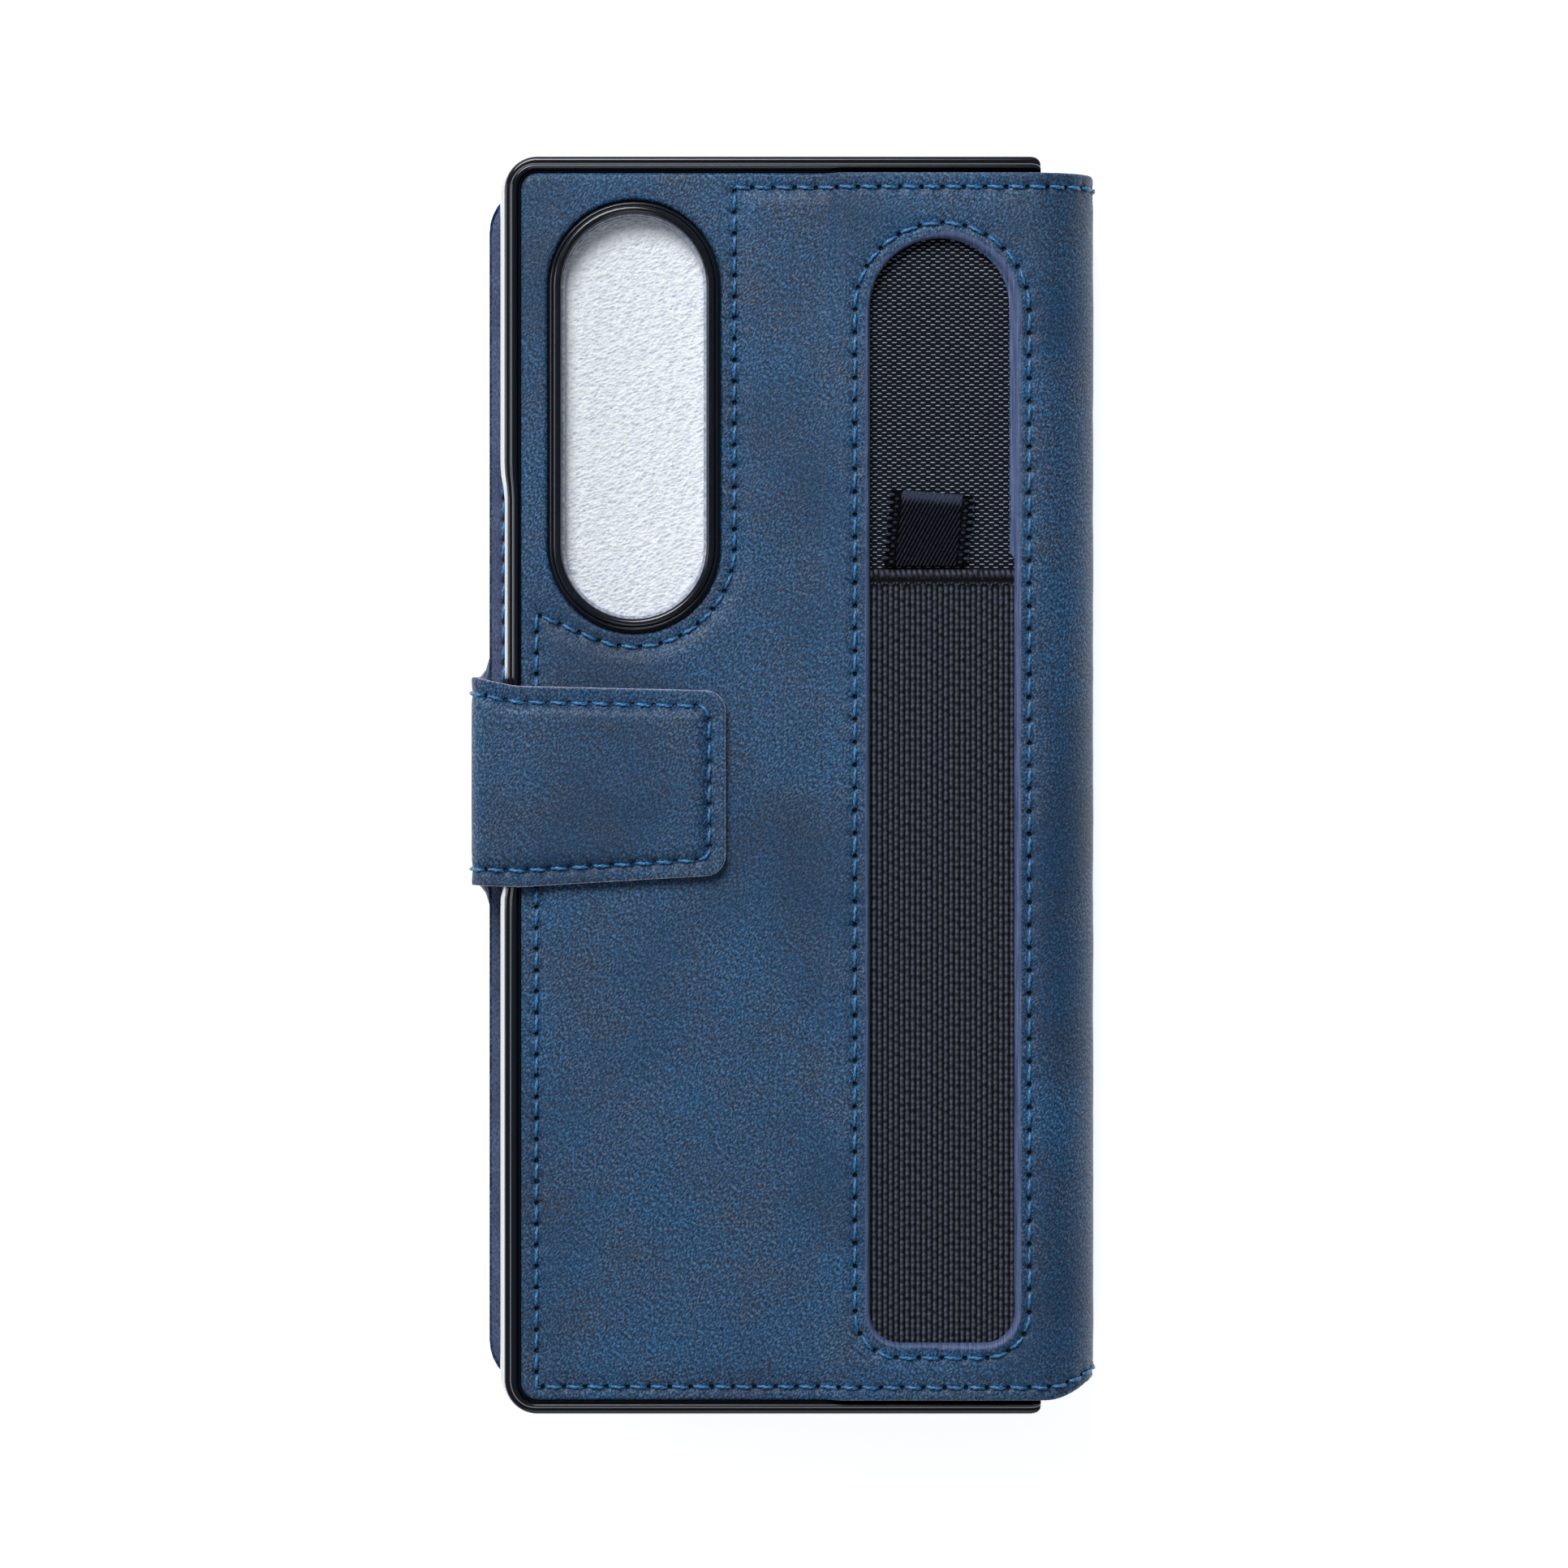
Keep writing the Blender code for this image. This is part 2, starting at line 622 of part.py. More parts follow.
def build_front_cover(cover):
    """Front cover: leather outside, board, lining, a cash pocket and three card pockets."""
    outer = [(COVER_LEFT - 1, 0.0)] + panel_end(0.0, COVER_END, upper=False)
    inner = panel_end(LEATHER, COVER_END, upper=False)[::-1] + [(COVER_LEFT - 1, LEATHER)]
    leather = strip("front_leather", outer + inner, (PANEL_BOTTOM - 1, PANEL_TOP + 1), "leather", cover)
    outline = rectangle(COVER_LEFT, SHELL_RIGHT + 10, PANEL_BOTTOM, PANEL_TOP, COVER_CORNER)
    combine(leather, prism("trim_front_leather", outline, (-5, 5)), "INTERSECT")

    board = rectangle(
        COVER_LEFT + 1, COVER_FLAT_END, PANEL_BOTTOM + 1, PANEL_TOP - 1, COVER_CORNER - 1, 0.5
    )
    prism("front_board", board, FRONT_BOARD_Z, "board", cover)
    lining = rectangle(
        COVER_LEFT + 0.2, COVER_FLAT_END, PANEL_BOTTOM + 0.2, PANEL_TOP - 0.2, COVER_CORNER, 0.5
    )
    prism("front_lining", lining, FRONT_LINING_Z, "lining", cover)

    cash = rectangle(POCKET_LEFT, CASH_RIGHT, -CASH_HALF_HEIGHT, CASH_HALF_HEIGHT, POCKET_CORNER)
    prism("cash_pocket", cash, CASH_Z, "lining", cover)
    for number, heights in ((3, CARD_3_Z), (2, CARD_2_Z), (1, CARD_1_Z)):
        right = CARD_RIGHT - CARD_STEP * (3 - number)
        card = rectangle(POCKET_LEFT, right, CARD_LOW, CARD_HIGH, POCKET_CORNER)
        pocket = prism(f"card_pocket_{number}", card, heights, "lining", cover)
        middle = (CARD_LOW + CARD_HIGH) / 2
        arc = [math.pi / 2 + math.pi * step / 12 for step in range(13)]
        notch = [
            (right + 0.6 * THUMB_NOTCH * math.cos(angle), middle + THUMB_NOTCH * math.sin(angle))
            for angle in arc
        ]
        notch += [(right + 2, middle - THUMB_NOTCH), (right + 2, middle + THUMB_NOTCH)]
        combine(pocket, prism(f"cut_thumb_{number}", notch, (0, 10)))


def tab_outline(inset):
    """Outline of the strap's end on the back panel, slightly narrower at its tip."""
    corner = TAB_CORNER - 0.5 * inset
    low = [(x, y + inset) for x, y in TAB_LOW_EDGE]
    high = [(x, y - inset) for x, y in TAB_HIGH_EDGE]
    return rounded(
        [
            (*low[0], 0),
            (*low[1], 0),
            (TAB_END - inset, low[2][1], corner),
            (TAB_END - inset, high[0][1], corner),
            (*high[1], 0),
            (*high[2], 0),
        ]
    )


def strap_bend(depth):
    """Points (x, z) down the strap's side, depth under its outer face, with both bends."""
    points = []
    bends = (
        (STRAP_UPPER_BEND, TAB_TOP - STRAP_UPPER_BEND, 92, 180),
        (STRAP_LOWER_BEND, STRAP_LOWER_BEND, 180, 260),
    )
    for bend, centre_z, first, last in bends:
        for step in range(5):
            angle = math.radians(first + (last - first) * step / 4)
            radius = bend - depth
            points.append((STRAP_LEFT + bend + radius * math.cos(angle), centre_z + radius * math.sin(angle)))
    return points


def build_strap(side, tab):
    """Closing strap: its side, and the end that lies on the back with a magnet in it."""
    lining_depth = STRAP_LEATHER + LAYER_GAP
    for name, outer, inner, kind in (
        ("strap_side_leather", 0.0, STRAP_LEATHER, "leather"),
        ("strap_side_lining", lining_depth, lining_depth + LINING, "lining"),
    ):
        profile = strap_bend(outer) + strap_bend(inner)[::-1]
        shade_round(strip(name, profile, (STRAP_LOW, STRAP_HIGH), kind, side))

    prism("strap_tab_lining", tab_outline(0.0), TAB_LINING_Z, "lining", tab)
    plate = rectangle(MAGNET_LEFT, MAGNET_RIGHT, *MAGNET_SPAN, 1.0)
    room = rectangle(
        MAGNET_LEFT - MAGNET_ROOM,
        MAGNET_RIGHT + MAGNET_ROOM,
        MAGNET_SPAN[0] - MAGNET_ROOM,
        MAGNET_SPAN[1] + MAGNET_ROOM,
        1.0,
    )
    prism("strap_magnet", plate, STRAP_MAGNET_Z, "steel", tab)
    raised = [(x, y) for x, y in tab_outline(TAB_SEAM + 0.7) if x > TAB_START]
    raised = [(TAB_FIELD_START, TAB_FIELD_SPAN[0])] + raised + [(TAB_FIELD_START, TAB_FIELD_SPAN[1])]
    leather = prism("strap_tab_leather", tab_outline(0.0), TAB_RIM_Z, "leather", tab)
    combine(leather, prism("join_tab_field", raised, (TAB_RIM_Z[0] + 0.2, TAB_TOP)), "UNION")
    combine(leather, prism("cut_tab_magnet", room, (TAB_RIM_Z[0] - 1, STRAP_MAGNET_Z[1] + LAYER_GAP)))


def build_case():
    for item in list(bpy.data.objects):
        bpy.data.objects.remove(item, do_unlink=True)

    cover = fold_axis("front_cover", (0.0, 0.0, 0.0))
    spine = fold_axis("cover_fold", (COVER_FOLD[0], 0.0, COVER_FOLD[1]), cover)
    back = fold_axis("back_fold", (BACK_FOLD[0], 0.0, BACK_FOLD[1]), spine)
    strap = fold_axis("strap_root_fold", (STRAP_ROOT_FOLD[0], 0.0, STRAP_ROOT_FOLD[1]), cover)
    tab = fold_axis("strap_corner_fold", (STRAP_CORNER_FOLD[0], 0.0, STRAP_CORNER_FOLD[1]), strap)
    pull = fold_axis("pull_tab_fold", (0.0, PULL_TAB_FOLD[0], PULL_TAB_FOLD[1]), back)

    build_shell(back)
    build_camera(back)
    build_back_panel(back)
    build_pen_slot(back, pull)
    build_foam(back)
    build_spine(spine)
    build_front_cover(cover)
    build_strap(strap, tab)
    build_seams(back, cover, tab)


build_case()
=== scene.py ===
"""Looks of a wallet case for a book-style folding phone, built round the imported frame.

Leather and cloth are laid out as flat patterns, in millimetres, and each pattern is
placed along a track: the line of the case's outer face, seen from its end. The back
and the spine share one track with their mirror image, the front cover; the strap has
its own. A flat point is (s, y), where s runs along the track and y up the case, and a
height stands off the face. Millimetres become metres where a mesh is made.
"""

import math
from collections import namedtuple

import bmesh
import bpy
import numpy as np
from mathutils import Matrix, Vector, geometry, kdtree


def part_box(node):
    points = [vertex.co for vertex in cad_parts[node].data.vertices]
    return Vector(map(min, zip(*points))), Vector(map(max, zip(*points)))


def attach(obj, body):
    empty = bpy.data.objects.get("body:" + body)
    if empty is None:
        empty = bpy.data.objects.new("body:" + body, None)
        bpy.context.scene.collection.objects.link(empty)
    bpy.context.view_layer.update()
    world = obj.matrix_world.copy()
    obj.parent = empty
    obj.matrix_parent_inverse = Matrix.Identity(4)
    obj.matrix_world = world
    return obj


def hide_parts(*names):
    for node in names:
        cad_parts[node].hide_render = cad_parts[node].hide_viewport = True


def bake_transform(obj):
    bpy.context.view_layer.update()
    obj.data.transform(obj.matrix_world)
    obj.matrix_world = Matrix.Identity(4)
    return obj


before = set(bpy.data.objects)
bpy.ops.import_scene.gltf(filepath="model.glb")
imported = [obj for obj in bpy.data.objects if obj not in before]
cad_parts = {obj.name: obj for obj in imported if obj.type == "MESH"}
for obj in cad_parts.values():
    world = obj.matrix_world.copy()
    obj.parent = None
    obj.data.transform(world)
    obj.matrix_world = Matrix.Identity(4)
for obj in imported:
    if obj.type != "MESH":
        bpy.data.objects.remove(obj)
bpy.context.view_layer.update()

MM = 0.001
Box = namedtuple("Box", "left low floor right high top")


def node_box(node):
    """Limits of a CAD node, in millimetres."""
    low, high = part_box(node)
    return Box(*(value / MM for value in (*low, *high)))


# ---- places read from the frame
PANEL = node_box("back_leather")
SPINE = node_box("spine_leather")
COVER = node_box("front_leather")
COVER_LINING = node_box("front_lining")
COVER_BOARD = node_box("front_board")
SHELL = node_box("back_shell")
RING = node_box("camera_ring")
LIP = node_box("camera_lip")
FABRIC = node_box("pen_slot_fabric")
ELASTIC = node_box("pen_elastic")
PULL_TAB = node_box("pen_pull_tab")
FOAM = node_box("packing_foam_sheet")
STRAP_SIDE = node_box("strap_side_leather")
STRAP_TAB = node_box("strap_tab_leather")
SEAM = node_box("outline_seam_thread")

# ---- sizes of the leather, the lining and the sewing
LEATHER = 0.9
LINING = 0.4
LAYER_GAP = 0.1
THREAD = 0.22
SPINE_START = 30.5
ARC_HEIGHT = 6.9
TRACK_START = -40.5
PANEL_LEVEL = 1.2
FIELD_RAISE = 0.3
STEP_X = 6.2
STEP_WIDTH = 2.4
PANEL_CORNER = 2.1
COVER_CORNER = 6.0
END_RISE = 2.3
SEAM_RISE = END_RISE * 0.85
SEAM_COLUMN = -6.0
SEAM_SHOULDER = 21.0
SEAM_PITCH = 2.6
SLOT_PITCH = 2.8
COVER_SEAM = 1.8
SLOT_SEAM = 1.85
SLOT_CORNER = 3.7
SLOT_MARGIN = 1.6
SLOT_STEP = 0.6
CAMERA_SEAM = 2.0
CAMERA_GAP = 0.25
STRAP_LOWER_BEND = 1.5
STRAP_UPPER_BEND = 2.2
STRAP_CORNER = 2.5
STRAP_SEAM = 2.0
STRAP_RIM_DROP = 0.6
LINING_INSET = 0.3
SPINE_DEPTH = LEATHER + LAYER_GAP + LINING
HOLE_GAP, EDGE_GAP, ROW_GAP = 0.07, 0.1, 0.2

# ---- the tray: corner, wall, rim, and the openings for the keys and the charging socket
SHELL_CORNER = 4.6
WALL = 1.2
RIM_WIDTH = 2.85
KEYS_SPAN = (-10.0, 37.0)
KEYS_Z = (2.0, 15.0)
SOCKET_HALF_WIDTH = 7.0
SOCKET_Z = (8.5, 15.0)
OPENING_CORNER = 2.5

CAMERA_X = (RING.left + RING.right) / 2
RING_OUTER = (RING.right - RING.left) / 2
RING_INNER = LIP.right - CAMERA_X + 0.1
CAMERA_LOW = RING.low + RING_OUTER
CAMERA_HIGH = RING.high - RING_OUTER
SLOT_LEFT = FABRIC.left + SLOT_MARGIN
SLOT_RIGHT = FABRIC.right - SLOT_MARGIN
SLOT_LOW = FABRIC.low + SLOT_MARGIN
SLOT_HIGH = FABRIC.high - SLOT_MARGIN
SEAM_LEFT = SEAM.left + THREAD
SEAM_LOW = SEAM.low + THREAD
SEAM_HIGH = SEAM.high - THREAD


# ------------------------------------------------------------- number helpers


def smooth(value):
    """Soft step from 0 to 1 as value goes from 0 to 1."""
    value = np.clip(value, 0.0, 1.0)
    return value * value * (3 - 2 * value)


def bell(distance, width):
    """1 at distance 0, falling to nothing a little past the width."""
    return np.exp(-((distance / width) ** 2))


def ripple(flat, size, seed):
    """Gentle unevenness from -1 to 1, with swells about size apart."""
    chance = np.random.default_rng(seed)
    total = np.zeros(len(flat))
    for _ in range(10):
        angle, phase = chance.uniform(0, 2 * math.pi, 2)
        length = size * chance.uniform(0.6, 1.6)
        across = flat[:, 0] * math.cos(angle) + flat[:, 1] * math.sin(angle)
        total += np.sin(2 * math.pi * across / length + phase)
    return np.clip(total / 4.5, -1, 1)


# ------------------------------------------------------------------- outlines


def rounded(corners, steps=8):
    """Closed outline through (x, y, radius) corners, each turned with an arc."""
    points = []
    for index, (x, y, radius) in enumerate(corners):
        if radius <= 0:
            points.append((x, y))
            continue
        before, after = corners[index - 1], corners[(index + 1) % len(corners)]
        to_before = math.atan2(before[1] - y, before[0] - x)
        turn = (math.atan2(after[1] - y, after[0] - x) - to_before) % (2 * math.pi)
        side = 1 if turn > math.pi else -1
        half = (2 * math.pi - turn if side > 0 else turn) / 2
        middle = to_before - side * half
        reach = radius / math.sin(half)
        centre = (x + reach * math.cos(middle), y + reach * math.sin(middle))
        sweep = math.pi - 2 * half
        first = middle + math.pi - side * sweep / 2
        for step in range(steps + 1):
            angle = first + side * sweep * step / steps
            points.append((centre[0] + radius * math.cos(angle), centre[1] + radius * math.sin(angle)))
    return points


def box_outline(left, low, right, high, corners):
    """Rectangle with a corner radius for each of its left low, right low, right high, left high."""
    places = ((left, low), (right, low), (right, high), (left, high))
    return rounded([(*place, corner) for place, corner in zip(places, corners)])


def arc(centre, radii, first, last, steps):
    """Points (a, b) of an elliptical arc between two angles in degrees."""
    angles = np.radians(np.linspace(first, last, steps + 1))
    return [(centre[0] + radii[0] * math.cos(a), centre[1] + radii[1] * math.sin(a)) for a in angles]


def pill(radius, steps=28):
    """Outline round the camera window, at a distance from its centre line."""
    return [
        (CAMERA_X + radius * math.cos(angle), centre + radius * math.sin(angle))
        for centre, first in ((CAMERA_HIGH, 0.0), (CAMERA_LOW, math.pi))
        for angle in (first + math.pi * step / steps for step in range(steps + 1))
    ]


def slot_outline(offset=0.0, step=SLOT_STEP):
    """Pen slot, widened by offset; its right edge steps in by step above the elastic."""
    left, right, low = SLOT_LEFT - offset, SLOT_RIGHT + offset, SLOT_LOW - offset
    shoulder = ELASTIC.high + 1.0
    corner = SLOT_CORNER + offset
    points = rounded([(left, shoulder, 0), (left, low, corner), (right, low, corner), (right, shoulder, 0)])
    inner = right - step
    points += [(right - step * float(smooth(rise)), shoulder + 1.2 * rise) for rise in (0.25, 0.5, 0.75, 1.0)]
    radius, middle = (inner - left) / 2, (inner + left) / 2
    top = SLOT_HIGH + offset - radius
    turns = [math.pi * turn / 24 for turn in range(25)]
    return points + [(middle + radius * math.cos(turn), top + radius * math.sin(turn)) for turn in turns]


def divide(points, gap, closed=True):
    """The same line with a point at least every gap."""
    points = [tuple(point) for point in points]
    ends = points[1:] + points[:1] if closed else points[1:]
    made = []
    for (x, y), (next_x, next_y) in zip(points, ends):
        count = max(1, math.ceil(math.hypot(next_x - x, next_y - y) / gap))
        made += [(x + (next_x - x) * i / count, y + (next_y - y) * i / count) for i in range(count)]
    return np.array(made if closed else made + [points[-1]])


def beside(points, distance, closed=True):
    """The line moved sideways by distance, to the right of its direction."""
    points = np.asarray(points, float)
    if closed:
        along = np.roll(points, -1, axis=0) - np.roll(points, 1, axis=0)
    else:
        along = np.gradient(points, axis=0)
    along /= np.maximum(np.hypot(*along.T), 1e-9)[:, None]
    return points + distance * np.stack([along[:, 1], -along[:, 0]], axis=1)


def rows_beside(loop, gap, offsets):
    """Points in rows at each offset from a closed loop."""
    return [beside(divide(loop, gap), offset) for offset in offsets]


def inside(flat, loop):
    """Which flat points lie within a closed loop."""
    x, y = flat.T
    within = np.zeros(len(flat), bool)
    loop = [tuple(point) for point in loop]
    for (ax, ay), (bx, by) in zip(loop, loop[1:] + loop[:1]):
        if ay != by:
            crosses = (ay > y) != (by > y)
            within ^= crosses & (x < (bx - ax) * (y - ay) / (by - ay) + ax)
    return within


def measure(flat, line):
    """Distance from each flat point to a line, and how far along it the nearest point is."""
    line = np.asarray(line, float)
    best = np.full(len(flat), 1e9)
    along = np.zeros(len(flat))
    walked = 0.0
    for start, end in zip(line, line[1:]):
        across = end - start
        length = math.hypot(*across)
        if length < 1e-9:
            continue
        share = np.clip(((flat - start) @ across) / length**2, 0, 1)
        gap = np.hypot(*(flat - start - share[:, None] * across).T)
        nearer = gap < best
        best = np.where(nearer, gap, best)
        along = np.where(nearer, walked + share * length, along)
        walked += length
    return best, along


def ring_distance(flat, loop):
    """Distance from each flat point to a closed loop."""
    loop = [tuple(point) for point in loop]
    return measure(flat, loop + loop[:1])[0]


# --------------------------------------------------------------------- tracks


class Track:
    """Line of (x, z) points on an outer face, along which a flat pattern is laid."""

    def __init__(self, points, start, side=1):
        self.points = np.array(points, float)
        gaps = np.hypot(*np.diff(self.points, axis=0).T)
        self.along = start + np.concatenate([[0.0], np.cumsum(gaps)])
        slope = np.gradient(self.points, self.along, axis=0)
        slope /= np.hypot(*slope.T)[:, None]
        self.out = side * np.stack([-slope[:, 1], slope[:, 0]], axis=1)

    def place(self, flat, height):
        """Points (x, y, z) over flat points, height off the face."""
        columns = (*self.points.T, *self.out.T)
        x, z, out_x, out_z = (np.interp(flat[:, 0], self.along, column) for column in columns)
        return np.stack([x + out_x * height, flat[:, 1], z + out_z * height], axis=1)


def case_half():
    """Points (x, z) of the back's face, from its free edge round to the middle of the spine."""
    across = SPINE.right - SPINE_START
    turns = np.linspace(0, math.pi / 2, 50)
    flat = [(x, PANEL.top) for x in np.arange(TRACK_START, SPINE_START, 0.5)]
    bend = [(SPINE_START + across * math.sin(t), PANEL.top - ARC_HEIGHT * (1 - math.cos(t))) for t in turns]
    straight = np.linspace(PANEL.top - ARC_HEIGHT, PANEL.top / 2, 12)[1:]
    return flat + bend + [(SPINE.right, z) for z in straight]


def strap_line():
    """Points (x, z) of the strap's outer face, from the cover's edge round to its tip."""
    left, top = STRAP_SIDE.left, STRAP_TAB.top
    lower, upper = STRAP_LOWER_BEND, STRAP_UPPER_BEND
    turns = np.linspace(0, math.pi / 2, BEND_POINTS)
    points = [(left + lower - lower * math.sin(turn), lower - lower * math.cos(turn)) for turn in turns]
    points += [(left, z) for z in np.arange(lower + 0.5, top - upper, 0.5)]
    points += [(left + upper - upper * math.cos(t), top - upper + upper * math.sin(t)) for t in turns]
    return points + [(x, top) for x in np.arange(left + upper + 0.5, STRAP_TAB.right + 0.5, 0.5)]


def level(z):
    """Track of a flat layer at height z; its s is x."""
    return Track([(-60.0, z), (0.0, z), (60.0, z)], -60.0)


BEND_POINTS = 16
BACK_TRACK = Track(case_half(), TRACK_START)
FRONT_TRACK = Track([(x, PANEL.top - z) for x, z in case_half()], TRACK_START, side=-1)
SPINE_MIDDLE = BACK_TRACK.along[-1]
STRAP_TRACK = Track(strap_line(), 0.0)
STRAP_BEND_END = STRAP_TRACK.along[BEND_POINTS - 1]
STRAP_CORNER_START = STRAP_BEND_END + STRAP_TAB.top - STRAP_LOWER_BEND - STRAP_UPPER_BEND
STRAP_CORNER_END = STRAP_CORNER_START + STRAP_UPPER_BEND * math.pi / 2
STRAP_MIDDLE = STRAP_CORNER_START / 2
STRAP_END = STRAP_CORNER_END + STRAP_TAB.right - STRAP_SIDE.left - STRAP_UPPER_BEND


# --------------------------------------------------------------------- sewing


class Seam:
    """Row of stitches along flat points, with a needle hole between each two."""

    def __init__(self, points, pitch, closed=False):
        points = [tuple(point) for point in points]
        self.line = np.array(points + points[:1] if closed else points)
        gaps = np.hypot(*np.diff(self.line, axis=0).T)
        self.walked = np.concatenate([[0.0], np.cumsum(gaps)])
        self.count = max(1, round(self.walked[-1] / pitch))
        self.pitch = self.walked[-1] / self.count
        self.holes = self.at(np.arange(self.count + (0 if closed else 1)) * self.pitch)

    def at(self, along):
        """Flat points at these lengths along the seam."""
        return np.stack([np.interp(along, self.walked, column) for column in self.line.T], axis=1)

    def rows(self):
        """Flat points along and beside the seam, where the surface needs to be fine."""
        line = self.at(np.arange(0, self.walked[-1], 0.42))
        offsets = (0, 0.36, -0.36, 0.75, -0.75)
        return np.concatenate([beside(line, offset, closed=False) for offset in offsets])

    def dots(self):
        """Flat points in and round each needle hole."""
        turns = np.arange(6) * math.pi / 3
        ring = np.stack([np.cos(turns), np.sin(turns)], axis=1)
        return np.concatenate([self.holes] + [self.holes + offset for offset in (*0.17 * ring, *0.36 * ring)])


def sewn(flat, seams):
    """How far sewing draws the surface in at flat points, and how near each is to a needle hole, which sets
    the painted shade in the holes.
    """
    drop, pit = np.zeros(len(flat)), np.zeros(len(flat))
    for number, seam in enumerate(seams):
        distance, along = measure(flat, seam.line)
        near = distance < 4.0
        holes = kdtree.KDTree(len(seam.holes))
        for index, (s, y) in enumerate(seam.holes):
            holes.insert((s, y, 0.0), index)
        holes.balance()
        gap = np.full(len(flat), 9.0)
        gap[near] = [holes.find((s, y, 0.0))[2] for s, y in flat[near]]
        pull = 0.5 + 0.5 * np.cos(2 * math.pi * along / seam.pitch)
        wander = ripple(flat, 2.2, 40 + number)
        pucker = np.sin(2 * math.pi * along / 1.25 + 3.0 * wander)
        drop += 0.16 * bell(distance, 0.45) * (0.6 + 0.4 * pull)
        drop += 0.1 * bell(distance, 1.2) * (0.3 + 0.7 * pull)
        drop += 0.055 * bell(distance - 1.0, 1.1) * (1 + pucker) * (0.7 + 0.6 * wander)
        hole = smooth((0.44 - gap) / 0.3)
        drop += 0.5 * hole
        # nearness to a needle hole, kept to paint shade into the holes near-black
        pit = np.maximum(pit, hole)
    return drop, pit


def foot_line(y, first, rise):
    """Line along the foot of the case from s = first to the spine, where it lifts."""
    lift_start, reach = SPINE_START + 2.0, 9.0
    steps = np.arange(lift_start, SPINE_MIDDLE + 0.01, 0.6)
    lifted = y + rise * smooth((steps - lift_start) / reach)
    return [(first, y), *zip(steps, lifted), (SPINE_MIDDLE, float(lifted[-1]))]


def end_outline(left, corner, inset=0.0, rise=END_RISE):
    """Outline of a panel, less an inset, from its round free corners to the middle of the spine."""
    left, low, high = left + inset, PANEL.low + inset, PANEL.high - inset
    corner -= inset
    corners = [(SPINE_MIDDLE, high, 0), (left, high, corner), (left, low, corner), (0.0, low, 0)]
    return rounded(corners) + foot_line(low, 1.0, rise)


def outline_seam():
    """Seam of the padded field: along the top, down beside the camera, round it and along the foot."""
    radius = RING_OUTER + CAMERA_SEAM
    shoulder = (SEAM_LEFT, SEAM_SHOULDER)
    across = (shoulder[0] - CAMERA_X, shoulder[1] - CAMERA_LOW)
    last = math.atan2(across[1], across[0]) + math.acos(radius / math.hypot(*across))
    turns = [last * step / 24 for step in range(25)]
    points = [(SPINE_MIDDLE, SEAM_HIGH), (SEAM_COLUMN, SEAM_HIGH)]
    points += [(CAMERA_X + radius * math.cos(t), CAMERA_LOW + radius * math.sin(t)) for t in turns]
    return points + [shoulder, (SEAM_LEFT, SEAM_LOW)] + foot_line(SEAM_LOW, STEP_X, SEAM_RISE)


BACK_SEAM = Seam(outline_seam(), SEAM_PITCH)
SLOT_SEAM_LINE = Seam(slot_outline(SLOT_SEAM, step=0.0), SLOT_PITCH, closed=True)
COVER_SEAM_LINE = Seam(end_outline(COVER.left, COVER_CORNER, COVER_SEAM, SEAM_RISE), SEAM_PITCH)


def strap_half_width(s, upper):
    """Edge of the strap at s: it flares into the cover at its root and narrows to its tip."""
    x = STRAP_SIDE.left + STRAP_UPPER_BEND + (s - STRAP_CORNER_END)
    if upper:
        edge = np.interp(x, (-60, -38.5, -36.0, -33.0, -7.1), (13.3, 13.3, 12.8, 12.2, 11.6))
    else:
        edge = np.interp(x, (-60, -38.5, -32.5, -7.1), (12.4, 12.4, 12.6, 11.1))
    return edge + 3.0 * (1 - np.sqrt(np.clip(1 - (1 - np.clip(s / 3.2, 0, 1)) ** 2, 0, 1)))


def strap_outline(first, last, inset=0.0):
    """Closed outline of a stretch of the strap, with round corners at its tip."""
    tip = last >= STRAP_END
    last = STRAP_END - inset if tip else last

    def edges(s):
        return -strap_half_width(s, False) + inset, strap_half_width(s, True) - inset

    steps = np.concatenate([np.arange(first, last, 0.6), [last]])
    low, high = ([(s, edges(s)[side]) for s in steps] for side in (0, 1))
    if not tip:
        return low + high[::-1]
    corner = STRAP_CORNER - 0.5 * inset
    low, high = ([point for point in row if point[0] < last - corner - 0.2] for row in (low, high))
    low_y, high_y = edges(last)
    turned = rounded([(*low[-1], 0), (last, low_y, corner), (last, high_y, corner), (*high[-1], 0)])
    return low[:-1] + turned + high[:-1][::-1]


def strap_root_seam(upper):
    """Seam beside one edge of the strap, from the cover to the middle of the case's side."""
    steps = np.arange(2.5, STRAP_MIDDLE, 0.7)
    width = strap_half_width(steps, upper) - STRAP_SEAM
    return Seam(list(zip(steps, width if upper else -width)), SEAM_PITCH)


STRAP_SEAM_LINE = Seam(strap_outline(STRAP_MIDDLE + 0.3, STRAP_END, STRAP_SEAM), SEAM_PITCH)
STRAP_WHOLE = strap_outline(0.0, STRAP_END)


# --------------------------------------------------------------------- meshes


